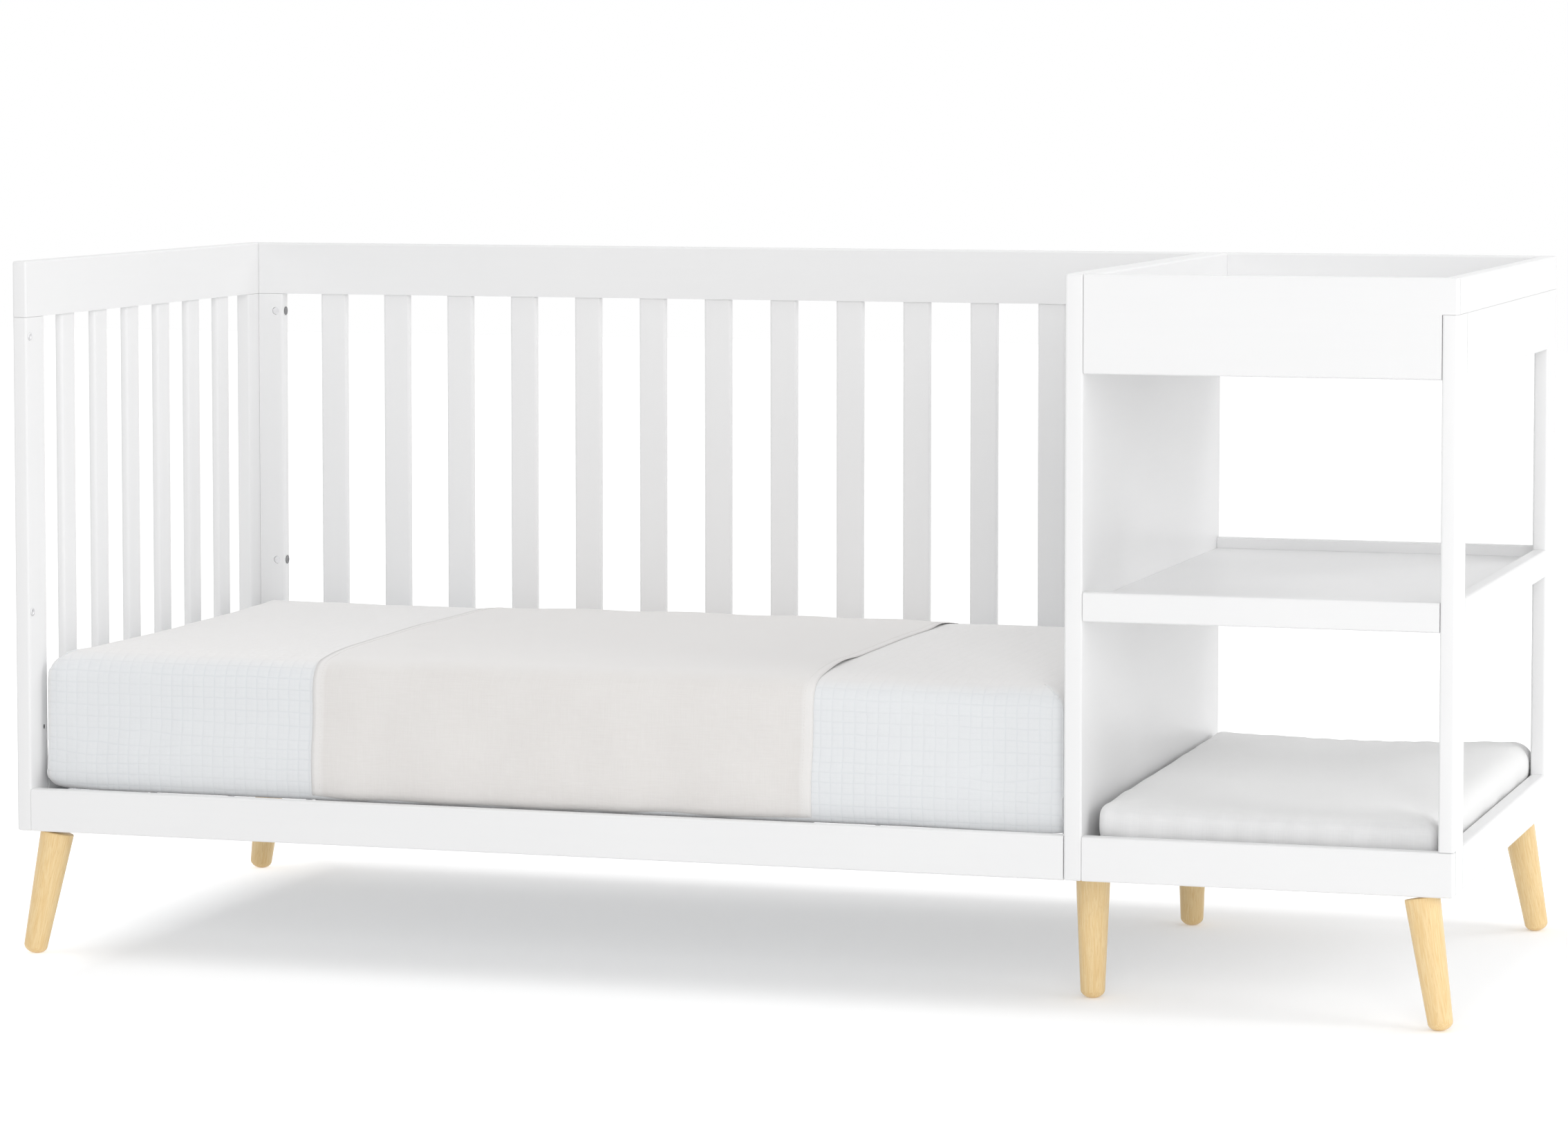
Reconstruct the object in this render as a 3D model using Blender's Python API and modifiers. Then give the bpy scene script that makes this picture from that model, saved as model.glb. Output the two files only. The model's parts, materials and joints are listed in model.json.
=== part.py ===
"""Crib and changer combo in its daybed form.

A slatted end and a slatted back close the crib bay. A solid divider parts it from an open changer with
two shelves and a sunk tray on top. Six tapered legs carry the body. Metres, +Z up. The origin is on the
floor under the middle of the body, X runs along the length with the changer at +X, and the front is at -Y.
"""

import math

import bmesh
import bpy
from mathutils import Matrix, Vector

# Body
BAY_LENGTH = 1.330
CHANGER_LENGTH = 0.421
BODY_DEPTH = 0.755
BODY_TOP = 0.870
LEG_HEIGHT = 0.156

# Boards
END_THICKNESS = 0.019
BACK_THICKNESS = 0.019
FRONT_THICKNESS = 0.019
DIVIDER_THICKNESS = 0.022
SIDE_THICKNESS = 0.018
EDGE_RADIUS = 0.003
EDGE_SEGMENTS = 2

# Crib rails, posts and slats
TOP_RAIL_HEIGHT = 0.070
PANEL_RAIL_HEIGHT = 0.070
FRONT_RAIL_HEIGHT = 0.053
POST_DEPTH = 0.0525
STILE_WIDTH = 0.036
SLAT_WIDTH = 0.038
SLAT_THICKNESS = 0.011
SLAT_RADIUS = 0.004
SLAT_SEGMENTS = 3
TENON = 0.010
END_SLATS = 6
BACK_SLATS = 13

# Changer side frame
SIDE_POST_DEPTH = 0.068
SIDE_FRAME_DROP = 0.0425
SIDE_TOP_RAIL_HEIGHT = 0.0745

# Tray
TRAY_THICKNESS = 0.018
APRON_HEIGHT = 0.117
TRAY_LEFT_THICKNESS = 0.012
TRAY_RECESS = 0.093

# Shelves
SHELF_RAIL_THICKNESS = 0.018
MIDDLE_SHELF_SHARE = 0.4783
MIDDLE_RAIL_HEIGHT = 0.035
MIDDLE_RECESS = 0.014
BOTTOM_RAIL_HEIGHT = 0.053
BOTTOM_RECESS = 0.016
PANEL_THICKNESS = 0.012
TONGUE_THICKNESS = 0.008
GROOVE_DEPTH = 0.006

# Legs
LEG_TOP_RADIUS = 0.0210
LEG_TIP_RADIUS = 0.0148
LEG_TIP_HEIGHT = 0.010
LEG_RIM_CHAMFER = 0.001
LEG_STEPS = 20
LEG_TIP_ROWS = 4
FOOT_FLAT = 0.0005
CORNER_FOOT_IN_X = 0.0145
CORNER_FOOT_IN_Y = 0.0156
SPLAY_X = 0.0269
SPLAY_Y = 0.0152
MIDDLE_FOOT_IN_Y = 0.105

# Leg blocks and leg studs
BLOCK_SIZE = 0.054
BLOCK_HEIGHT = 0.022
STUD_RADIUS = 0.004
STUD_HEIGHT = 0.018

# Bolts and barrel nuts
BOLT_RADIUS = 0.003
BOLT_LENGTH = 0.050
BOLT_HEAD_RADIUS = 0.006
BOLT_HEAD_HEIGHT = 0.003
STILE_BOLT_SHARES = {"lower": 0.357, "upper": 0.958}
NUT_RADIUS = 0.005
NUT_LENGTH = 0.0150
NUT_IN = 0.0250
SIDE_HOLE_DEPTH = 0.014
FASTENER_STEPS = 12

# Mattress support
SUPPORT_RISE = 0.0505
ANGLE_LEG = 0.018
ANGLE_THICKNESS = 0.002
SUPPORT_SIDE_GAP = 0.008
WIRE_RADIUS = 0.0016
LONG_WIRES = 5
CROSS_WIRES = 11
WIRE_RAMP = 0.016
WIRE_END_IN = 0.004
WELD = 0.0006
SUPPORT_BOLT_IN = 0.041
SUPPORT_BOLT_LENGTH = 0.019
SPARE_HOLE_RISE = 0.092

# Mattress, throw and changing pad
MATTRESS_THICKNESS = 0.1735
MATTRESS_END_GAP = 0.006
MATTRESS_SIDE_GAP = 0.007
MATTRESS_ROUND = 0.030
MATTRESS_CROWN = 0.007
MATTRESS_DRAW = 0.003
THROW_FROM_LEFT = 0.368
THROW_WIDTH = 0.645
THROW_THICKNESS = 0.002
THROW_LIFT = 0.002
THROW_HEM_HEIGHT = 0.010
THROW_FOLD = 0.0006
THROW_FOLDS = 5
THROW_COLUMNS = 10
THROW_ARC_STEPS = 8
THROW_TOP_STEPS = 8
PAD_GAP_X = 0.007
PAD_GAP_Y = 0.004
PAD_EDGE_HEIGHT = 0.056
PAD_MIDDLE_HEIGHT = 0.045
PAD_ROUND = 0.022

SOFT_LEVELS = 2

# Clearances
SEAM = 0.0003
OVERRUN = 0.010

# Places along the length, from the left
LENGTH = END_THICKNESS + BAY_LENGTH + DIVIDER_THICKNESS + CHANGER_LENGTH + SIDE_THICKNESS
X_LEFT = -LENGTH / 2
X_BAY_LEFT = X_LEFT + END_THICKNESS
X_BAY_RIGHT = X_BAY_LEFT + BAY_LENGTH
X_CHANGER_LEFT = X_BAY_RIGHT + DIVIDER_THICKNESS
X_CHANGER_RIGHT = X_CHANGER_LEFT + CHANGER_LENGTH
X_RIGHT = X_CHANGER_RIGHT + SIDE_THICKNESS

# Places from front to back
Y_FRONT = -BODY_DEPTH / 2
Y_BACK = BODY_DEPTH / 2
Y_BAY_FRONT = Y_FRONT + FRONT_THICKNESS
Y_BAY_BACK = Y_BACK - BACK_THICKNESS

# Heights
TOP_RAIL_UNDER = BODY_TOP - TOP_RAIL_HEIGHT
PANEL_RAIL_TOP = LEG_HEIGHT + PANEL_RAIL_HEIGHT
BOTTOM_SHELF_TOP = LEG_HEIGHT + BOTTOM_RAIL_HEIGHT
APRON_UNDER = BODY_TOP - APRON_HEIGHT
SIDE_FRAME_TOP = BODY_TOP - SIDE_FRAME_DROP
MIDDLE_SHELF_TOP = LEG_HEIGHT + MIDDLE_SHELF_SHARE * (BODY_TOP - LEG_HEIGHT)
SUPPORT_TOP = LEG_HEIGHT + SUPPORT_RISE
WIRE_BED = SUPPORT_TOP - SEAM - 4 * WIRE_RADIUS + 2 * WELD


def grown(span, by=SEAM):
    """A span made longer at both ends."""
    return (span[0] - by, span[1] + by)


def collection_of(name, hidden=False):
    """A new collection in the scene."""
    made = bpy.data.collections.new(name)
    bpy.context.scene.collection.children.link(made)
    made.hide_render = hidden
    return made


def paint(name, color, roughness, metallic=0.0):
    """A plain Principled material."""
    material = bpy.data.materials.new(name)
    material.use_nodes = True
    shader = material.node_tree.nodes["Principled BSDF"]
    shader.inputs["Base Color"].default_value = (*color, 1.0)
    shader.inputs["Roughness"].default_value = roughness
    shader.inputs["Metallic"].default_value = metallic
    return material


for old in list(bpy.data.objects):
    bpy.data.objects.remove(old)

PARTS = collection_of("crib_and_changer")
CUTTERS = collection_of("cutters", hidden=True)

WHITE_PAINT = paint("white_paint", (0.87, 0.87, 0.87), 0.38)
LEG_WOOD = paint("leg_wood", (0.86, 0.62, 0.33), 0.45)
STEEL = paint("zinc_steel", (0.62, 0.63, 0.64), 0.35, 1.0)
SHEET = paint("muslin_sheet", (0.76, 0.80, 0.83), 0.90)
THROW = paint("throw_cloth", (0.80, 0.76, 0.71), 0.90)
PAD_COVER = paint("pad_cover", (0.74, 0.74, 0.74), 0.85)


def assembly(name, place):
    """An empty that carries one sub-assembly."""
    empty = bpy.data.objects.new(name, None)
    empty.location = place
    empty.empty_display_size = EDGE_RADIUS
    PARTS.objects.link(empty)
    return empty


CRIB_END = assembly("crib_end", (X_LEFT, 0.0, LEG_HEIGHT))
CRIB_BACK = assembly("crib_back", (X_BAY_LEFT, Y_BACK, LEG_HEIGHT))
BASE = assembly("crib_base", (X_BAY_LEFT, 0.0, LEG_HEIGHT))
SIDE_FRAME = assembly("side_frame", (X_RIGHT, 0.0, LEG_HEIGHT))
TRAY = assembly("tray", (X_CHANGER_LEFT, 0.0, APRON_UNDER))
SHELVES = assembly("shelves", (X_CHANGER_LEFT, 0.0, LEG_HEIGHT))
LEGS = assembly("legs", (0.0, 0.0, 0.0))
BEDDING = assembly("bedding", (X_BAY_LEFT, 0.0, SUPPORT_TOP))


def add_object(name, mesh, material, parent, place=(0.0, 0.0, 0.0)):
    """Puts a mesh in the scene at a world place, under its sub-assembly."""
    obj = bpy.data.objects.new(name, mesh)
    PARTS.objects.link(obj)
    obj.parent = parent
    obj.location = Vector(place) - parent.location
    mesh.materials.append(material)
    return obj


def mesh_from(name, bm, recalculate=True):
    """Turns a bmesh into a named mesh, with its faces pointing out or left as they are."""
    if recalculate:
        bmesh.ops.recalc_face_normals(bm, faces=bm.faces)
    mesh = bpy.data.meshes.new(name)
    bm.to_mesh(mesh)
    bm.free()
    return mesh


def add_box(bm, x, y, z):
    """Adds a box between the two places on each axis, and returns its points."""
    size = Matrix.Diagonal((x[1] - x[0], y[1] - y[0], z[1] - z[0], 1.0))
    middle = Matrix.Translation(((x[0] + x[1]) / 2, (y[0] + y[1]) / 2, (z[0] + z[1]) / 2))
    return bmesh.ops.create_cube(bm, size=1.0, matrix=middle @ size)["verts"]


def on_face(edge, face):
    """Whether an edge of a box about the origin lies on the face named, such as -Z."""
    axis = "XYZ".index(face[1])
    return all((vert.co[axis] > 0) == (face[0] == "+") for vert in edge.verts)


def board(name, x, y, z, parent, rounded="XYZ", radius=EDGE_RADIUS, segments=EDGE_SEGMENTS, square=()):
    """A painted board whose edges are rounded where they run along the axes named, but not on square faces."""
    middle = Vector(((x[0] + x[1]) / 2, (y[0] + y[1]) / 2, (z[0] + z[1]) / 2))
    bm = bmesh.new()
    verts = add_box(bm, x, y, z)
    bmesh.ops.translate(bm, vec=-middle, verts=verts)
    weight = bm.edges.layers.float.new("bevel_weight_edge")
    for edge in bm.edges:
        run = edge.verts[1].co - edge.verts[0].co
        axis = max(range(3), key=lambda index: abs(run[index]))
        butted = any(on_face(edge, face) for face in square)
        edge[weight] = 1.0 if "XYZ"[axis] in rounded and not butted else 0.0
    obj = add_object(name, mesh_from(name, bm), WHITE_PAINT, parent, middle)
    if rounded:
        rounding = obj.modifiers.new("rounded_edges", "BEVEL")
        rounding.width = radius
        rounding.segments = segments
        rounding.limit_method = "WEIGHT"
    return obj


def cutter(name, bm):
    """A hidden object that cuts others."""
    obj = bpy.data.objects.new(name, mesh_from(name, bm))
    CUTTERS.objects.link(obj)
    obj.hide_render = True
    obj.display_type = "WIRE"
    return obj


def box_cutter(name, boxes):
    """One cutter made of separate boxes, each given as its x, y and z places."""
    bm = bmesh.new()
    for x, y, z in boxes:
        add_box(bm, x, y, z)
    return cutter(name, bm)


def cut(obj, tool):
    """Takes the tool's shape out of the object."""
    boolean = obj.modifiers.new(tool.name, "BOOLEAN")
    boolean.operation = "DIFFERENCE"
    boolean.object = tool


def join(obj, other):
    """Makes the other's shape part of the object."""
    boolean = obj.modifiers.new(other.name, "BOOLEAN")
    boolean.operation = "UNION"
    boolean.object = other


def add_turned(bm, profile, place):
    """Adds the solid that a profile of (radius, height) points makes about Z, moved to its place."""
    single = bmesh.new()
    points = [single.verts.new((radius, 0.0, height)) for radius, height in profile]
    edges = [single.edges.new(pair) for pair in zip(points, points[1:])]
    bmesh.ops.spin(
        single,
        geom=points + edges,
        cent=(0.0, 0.0, 0.0),
        axis=(0.0, 0.0, 1.0),
        angle=math.tau,
        steps=FASTENER_STEPS,
        use_merge=True,
    )
    bmesh.ops.remove_doubles(single, verts=single.verts, dist=SEAM / 10)
    bmesh.ops.transform(single, matrix=place, verts=single.verts)
    copy = bpy.data.meshes.new("turned")
    single.to_mesh(copy)
    single.free()
    bm.from_mesh(copy)
    bpy.data.meshes.remove(copy)


def rod_profile(radius, low, high):
    """The profile of a plain rod between two heights."""
    return [(0.0, high), (radius, high), (radius, low), (0.0, low)]


def bolt_profile(length, clearance=0.0, overrun=0.0):
    """A bolt down from the top of its head at zero, or the hole for it with a clearance and an overrun."""
    head = BOLT_HEAD_RADIUS + clearance
    shank = BOLT_RADIUS + clearance
    shoulder = -BOLT_HEAD_HEIGHT - clearance
    tip = -length - clearance
    return [(0.0, overrun), (head, overrun), (head, shoulder), (shank, shoulder), (shank, tip), (0.0, tip)]


# Crib end
end_slat_gap = (BODY_DEPTH - 2 * POST_DEPTH - END_SLATS * SLAT_WIDTH) / (END_SLATS + 1)
end_x = (X_LEFT, X_BAY_LEFT)
end_middle = (X_LEFT + X_BAY_LEFT) / 2
end_slat_x = (end_middle - SLAT_THICKNESS / 2, end_middle + SLAT_THICKNESS / 2)
end_between = (Y_FRONT + POST_DEPTH + SEAM, Y_BACK - POST_DEPTH - SEAM)
end_depth_y = (Y_FRONT, Y_BACK)
end_front_y = (Y_FRONT, Y_FRONT + POST_DEPTH)
end_rear_y = (Y_BACK - POST_DEPTH, Y_BACK)
top_rail_z = (TOP_RAIL_UNDER, BODY_TOP)
end_rail_z = (LEG_HEIGHT, PANEL_RAIL_TOP)
post_z = (LEG_HEIGHT, TOP_RAIL_UNDER - SEAM)
end_top_rail = board("end_top_rail", end_x, end_depth_y, top_rail_z, CRIB_END, square=("-Z",))
end_bottom_rail = board("end_bottom_rail", end_x, end_between, end_rail_z, CRIB_END, square=("-Y", "+Y"))
end_front_post = board("end_front_post", end_x, end_front_y, post_z, CRIB_END, square=("+Z",))
end_rear_post = board("end_rear_post", end_x, end_rear_y, post_z, CRIB_END, square=("+Z",))

slat_z = (PANEL_RAIL_TOP - TENON, TOP_RAIL_UNDER + TENON)
slat_hole_z = (slat_z[0] - SEAM, slat_z[1] + SEAM)

end_mortises = []
for index in range(END_SLATS):
    slat_start = Y_FRONT + POST_DEPTH + end_slat_gap * (index + 1) + SLAT_WIDTH * index
    slat_y = (slat_start, slat_start + SLAT_WIDTH)
    board(f"end_slat_{index + 1}", end_slat_x, slat_y, slat_z, CRIB_END, "Z", SLAT_RADIUS, SLAT_SEGMENTS)
    end_mortises.append((grown(end_slat_x), grown(slat_y), slat_hole_z))
end_mortise_cutter = box_cutter("end_mortises", end_mortises)
cut(end_top_rail, end_mortise_cutter)
cut(end_bottom_rail, end_mortise_cutter)

# Crib back
bay_x = grown((X_BAY_LEFT, X_BAY_RIGHT), -SEAM)
back_y = (Y_BAY_BACK, Y_BACK)
back_middle = (Y_BAY_BACK + Y_BACK) / 2
back_slat_y = (back_middle - SLAT_THICKNESS / 2, back_middle + SLAT_THICKNESS / 2)
back_slat_gap = (BAY_LENGTH - 2 * STILE_WIDTH - BACK_SLATS * SLAT_WIDTH) / (BACK_SLATS + 1)
left_stile_x = (bay_x[0], X_BAY_LEFT + STILE_WIDTH)
right_stile_x = (X_BAY_RIGHT - STILE_WIDTH, bay_x[1])
stile_z = (PANEL_RAIL_TOP + SEAM, TOP_RAIL_UNDER - SEAM)
left_butts = ("-X", "-Z", "+Z")
right_butts = ("+X", "-Z", "+Z")
back_top_rail = board("back_top_rail", bay_x, back_y, top_rail_z, CRIB_BACK, square=("-X", "+X", "-Z"))
back_bottom_rail = board("back_bottom_rail", bay_x, back_y, end_rail_z, CRIB_BACK, square=("-X", "+X", "+Z"))
back_left_stile = board("back_left_stile", left_stile_x, back_y, stile_z, CRIB_BACK, square=left_butts)
back_right_stile = board("back_right_stile", right_stile_x, back_y, stile_z, CRIB_BACK, square=right_butts)
back_mortises = []
for index in range(BACK_SLATS):
    slat_start = X_BAY_LEFT + STILE_WIDTH + back_slat_gap * (index + 1) + SLAT_WIDTH * index
    slat_x = (slat_start, slat_start + SLAT_WIDTH)
    slat_name = f"back_slat_{index + 1:02d}"
    board(slat_name, slat_x, back_slat_y, slat_z, CRIB_BACK, "Z", SLAT_RADIUS, SLAT_SEGMENTS)
    back_mortises.append((grown(slat_x), grown(back_slat_y), slat_hole_z))
back_mortise_cutter = box_cutter("back_mortises", back_mortises)
cut(back_top_rail, back_mortise_cutter)
cut(back_bottom_rail, back_mortise_cutter)

# Front rail and divider
front_z = (LEG_HEIGHT, LEG_HEIGHT + FRONT_RAIL_HEIGHT)
front_rail = board("front_rail", bay_x, (Y_FRONT, Y_BAY_FRONT), front_z, BASE, square=("-X", "+X"))
wall_x = (X_BAY_RIGHT, X_CHANGER_LEFT)
divider = board("divider_panel", wall_x, (Y_FRONT, Y_BACK), (LEG_HEIGHT, BODY_TOP), BASE)

# Changer side frame, whose posts are notched round the bottom shelf's front and back rails
side_x = (X_CHANGER_RIGHT, X_RIGHT)
side_between = (Y_FRONT + SIDE_POST_DEPTH + SEAM, Y_BACK - SIDE_POST_DEPTH - SEAM)
side_post_z = (LEG_HEIGHT, SIDE_FRAME_TOP)
side_top_z = (SIDE_FRAME_TOP - SIDE_TOP_RAIL_HEIGHT, SIDE_FRAME_TOP)
middle_rail_z = (MIDDLE_SHELF_TOP - MIDDLE_RAIL_HEIGHT, MIDDLE_SHELF_TOP)
bottom_rail_z = (LEG_HEIGHT, BOTTOM_SHELF_TOP)
side_front_y = (Y_FRONT, Y_FRONT + SIDE_POST_DEPTH)
side_rear_y = (Y_BACK - SIDE_POST_DEPTH, Y_BACK)
side_front_post = board("side_front_post", side_x, side_front_y, side_post_z, SIDE_FRAME, square=("+Z",))
side_rear_post = board("side_rear_post", side_x, side_rear_y, side_post_z, SIDE_FRAME, square=("+Z",))
board("side_top_rail", side_x, side_between, side_top_z, SIDE_FRAME, square=("-Y", "+Y", "+Z"))
board("side_shelf_rail", side_x, side_between, middle_rail_z, SIDE_FRAME, square=("-Y", "+Y"))
board("side_bottom_rail", side_x, side_between, bottom_rail_z, SIDE_FRAME, square=("-Y", "+Y"))
past_side_x = grown(side_x, OVERRUN)
rail_notch_z = (LEG_HEIGHT - OVERRUN, BOTTOM_SHELF_TOP + SEAM)
front_notch_y = (Y_FRONT - OVERRUN, Y_FRONT + SHELF_RAIL_THICKNESS + SEAM)
back_notch_y = (Y_BACK - SHELF_RAIL_THICKNESS - SEAM, Y_BACK + OVERRUN)
cut(side_front_post, box_cutter("front_post_notch", [(past_side_x, front_notch_y, rail_notch_z)]))
cut(side_rear_post, box_cutter("rear_post_notch", [(past_side_x, back_notch_y, rail_notch_z)]))

# Tray, whose aprons are notched over the side frame's posts
apron_x = (X_CHANGER_LEFT + SEAM, X_RIGHT)
apron_z = (APRON_UNDER, BODY_TOP)
tray_front_y = (Y_FRONT, Y_FRONT + TRAY_THICKNESS)
tray_back_y = (Y_BACK - TRAY_THICKNESS, Y_BACK)
tray_between = (tray_front_y[1] + SEAM, tray_back_y[0] - SEAM)
tray_front_apron = board("tray_front_apron", apron_x, tray_front_y, apron_z, TRAY, square=("-X",))
tray_back_apron = board("tray_back_apron", apron_x, tray_back_y, apron_z, TRAY, square=("-X",))
apron_notch_x = (X_CHANGER_RIGHT - SEAM, X_RIGHT + OVERRUN)
apron_notch_z = (APRON_UNDER - OVERRUN, SIDE_FRAME_TOP + SEAM)
apron_notch_y = grown((Y_FRONT, Y_BACK), OVERRUN)
apron_notch = box_cutter("apron_notches", [(apron_notch_x, apron_notch_y, apron_notch_z)])
tray_left_x = (apron_x[0], apron_x[0] + TRAY_LEFT_THICKNESS)
left_board_butts = ("-X", "-Y", "+Y")
right_board_butts = ("-Y", "+Y", "-Z")
right_board_z = (SIDE_FRAME_TOP + SEAM, BODY_TOP)
tray_left_board = board("tray_left_board", tray_left_x, tray_between, apron_z, TRAY, square=left_board_butts)
board("tray_right_board", side_x, tray_between, right_board_z, TRAY, square=right_board_butts)


def grooved_panel(name, x, rails_y, top, parent, rails):
    """A thin panel whose front and back edges are rebated to tongues that sit in grooves in its rails."""
    panel_y = grown(rails_y, GROOVE_DEPTH)
    under = top - PANEL_THICKNESS
    shoulder = under + TONGUE_THICKNESS
    panel = board(name, x, panel_y, (under, top), parent, rounded="")
    rebate_x = grown(x, OVERRUN)
    rebate_z = (shoulder, top + OVERRUN)
    front_rebate = (rebate_x, (panel_y[0] - OVERRUN, rails_y[0] + SEAM), rebate_z)
    back_rebate = (rebate_x, (rails_y[1] - SEAM, panel_y[1] + OVERRUN), rebate_z)
    cut(panel, box_cutter(f"{name}_rebates", [front_rebate, back_rebate]))
    groove = box_cutter(f"{name}_groove", [(grown(x), grown(panel_y), grown((under, shoulder)))])
    for rail in rails:
        cut(rail, groove)
    return panel


deck_x = (tray_left_x[1] - GROOVE_DEPTH, X_CHANGER_RIGHT - SEAM)
tray_rails = [tray_front_apron, tray_back_apron, tray_left_board]
deck_rails_y = (tray_front_y[1], tray_back_y[0])
deck_top = BODY_TOP - TRAY_RECESS
tray_deck = grooved_panel("tray_deck", deck_x, deck_rails_y, deck_top, TRAY, tray_rails)
deck_end_x = (deck_x[0] - OVERRUN, tray_left_x[1] + SEAM)
deck_end_z = (deck_top - PANEL_THICKNESS + TONGUE_THICKNESS, deck_top + OVERRUN)
cut(tray_deck, box_cutter("tray_deck_end_rebate", [(deck_end_x, grown(deck_rails_y, OVERRUN), deck_end_z)]))
cut(tray_front_apron, apron_notch)
cut(tray_back_apron, apron_notch)

# Shelves
shelf_x = (X_CHANGER_LEFT + SEAM, X_CHANGER_RIGHT - SEAM)
shelf_front_y = (Y_FRONT, Y_FRONT + SHELF_RAIL_THICKNESS)
shelf_back_y = (Y_BACK - SHELF_RAIL_THICKNESS, Y_BACK)
shelf_rails_y = (shelf_front_y[1], shelf_back_y[0])
shelf_butts = ("-X", "+X")
middle_front = board(
    "middle_shelf_front_rail", shelf_x, shelf_front_y, middle_rail_z, SHELVES, square=shelf_butts
)
middle_back = board(
    "middle_shelf_back_rail", shelf_x, shelf_back_y, middle_rail_z, SHELVES, square=shelf_butts
)
middle_panel_top = MIDDLE_SHELF_TOP - MIDDLE_RECESS
middle_rails = [middle_front, middle_back]
grooved_panel("middle_shelf_panel", shelf_x, shelf_rails_y, middle_panel_top, SHELVES, middle_rails)
bottom_x = (shelf_x[0], X_RIGHT)
bottom_front = board(
    "bottom_shelf_front_rail", bottom_x, shelf_front_y, bottom_rail_z, SHELVES, square=("-X",)
)
bottom_back = board(
    "bottom_shelf_back_rail", bottom_x, shelf_back_y, bottom_rail_z, SHELVES, square=("-X",)
)
bottom_panel_top = BOTTOM_SHELF_TOP - BOTTOM_RECESS
bottom_rails = [bottom_front, bottom_back]
bottom_panel = grooved_panel(
    "bottom_shelf_panel", shelf_x, shelf_rails_y, bottom_panel_top, SHELVES, bottom_rails
)


# Legs
def tip_point(share):
    """A point of the rounded tip, from its middle (0) to its full radius (1)."""
    angle = share * math.pi / 2
    return LEG_TIP_RADIUS * math.sin(angle), LEG_TIP_HEIGHT * (1 - math.cos(angle))


def add_leg(name, foot_x, foot_y, splay_x, splay_y):
    """A turned leg with its stud, leaning in to the body from its foot. Returns its frame and length."""
    lean = Vector((splay_x, splay_y, LEG_HEIGHT)).normalized()
    tilt = lean.angle(Vector((0.0, 0.0, 1.0)))
    heading = math.atan2(splay_y, splay_x)
    tip = [tip_point(row / LEG_TIP_ROWS) for row in range(LEG_TIP_ROWS + 1)]
    lowest = min(height * math.cos(tilt) - radius * math.sin(tilt) for radius, height in tip)
    lift = -lowest - FOOT_FLAT
    rim = LEG_TOP_RADIUS - LEG_RIM_CHAMFER
    length = (LEG_HEIGHT - SEAM - lift - rim * math.sin(tilt)) / math.cos(tilt)
    stud = rod_profile(STUD_RADIUS, length, length + STUD_HEIGHT)[:-1]
    profile = stud + [(rim, length), (LEG_TOP_RADIUS, length - LEG_RIM_CHAMFER)] + tip[::-1]
    mesh = bpy.data.meshes.new(name)
    edges = [(index, index + 1) for index in range(len(profile) - 1)]
    mesh.from_pydata([(radius, 0.0, height) for radius, height in profile], edges, [])
    leg = add_object(name, mesh, LEG_WOOD, LEGS, (foot_x, foot_y, lift))
    towards = Matrix.Rotation(heading, 4, "Z")
    turn = towards @ Matrix.Rotation(tilt, 4, "Y") @ towards.inverted()
    leg.rotation_euler = turn.to_euler()
    screw = leg.modifiers.new("turned", "SCREW")
    screw.steps = LEG_STEPS
    screw.render_steps = LEG_STEPS
    screw.use_merge_vertices = True
    screw.merge_threshold = SEAM / 10
    cut(leg, FLOOR_CUTTER)
    return Matrix.Translation((foot_x, foot_y, lift)) @ turn, length


floor_x = grown((X_LEFT, X_RIGHT), OVERRUN)
floor_y = grown((Y_FRONT, Y_BACK), OVERRUN)
FLOOR_CUTTER = box_cutter("floor", [(floor_x, floor_y, (-OVERRUN, 0.0))])
corner_x = (X_LEFT + CORNER_FOOT_IN_X, X_RIGHT - CORNER_FOOT_IN_X)
corner_y = (Y_FRONT + CORNER_FOOT_IN_Y, Y_BACK - CORNER_FOOT_IN_Y)
divider_x = (X_BAY_RIGHT + X_CHANGER_LEFT) / 2
leg_frames = [
    add_leg("leg_front_left", corner_x[0], corner_y[0], SPLAY_X, SPLAY_Y),
    add_leg("leg_rear_left", corner_x[0], corner_y[1], SPLAY_X, -SPLAY_Y),
    add_leg("leg_front_right", corner_x[1], corner_y[0], -SPLAY_X, SPLAY_Y),
    add_leg("leg_rear_right", corner_x[1], corner_y[1], -SPLAY_X, -SPLAY_Y),
    add_leg("leg_front_middle", divider_x, Y_FRONT + MIDDLE_FOOT_IN_Y, 0.0, 0.0),
    add_leg("leg_rear_middle", divider_x, Y_BACK - MIDDLE_FOOT_IN_Y, 0.0, 0.0),
]

# Corner blocks glued to the crib's bottom rails and under the bottom shelf, and the holes for the legs' studs
glued = 2 * EDGE_RADIUS
block_low = LEG_HEIGHT + SEAM
left_x = (X_BAY_LEFT + EDGE_RADIUS, X_BAY_LEFT + BLOCK_SIZE)
left_z = (block_low, LEG_HEIGHT + BLOCK_HEIGHT)
front_block = [(left_x, (Y_BAY_FRONT - glued, Y_BAY_FRONT + BLOCK_SIZE), left_z)]
rear_block = [(left_x, (Y_BAY_BACK - BLOCK_SIZE, Y_BAY_BACK + glued), left_z)]
right_x = (X_CHANGER_RIGHT - BLOCK_SIZE, X_CHANGER_RIGHT - EDGE_RADIUS)
right_z = (block_low, bottom_panel_top - PANEL_THICKNESS / 2)
right_front_y = (shelf_front_y[1] + SEAM, shelf_front_y[1] + BLOCK_SIZE)
right_rear_y = (shelf_back_y[0] - BLOCK_SIZE, shelf_back_y[0] - SEAM)
shelf_blocks = [(right_x, right_front_y, right_z), (right_x, right_rear_y, right_z)]
stud_holes = bmesh.new()
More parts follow.
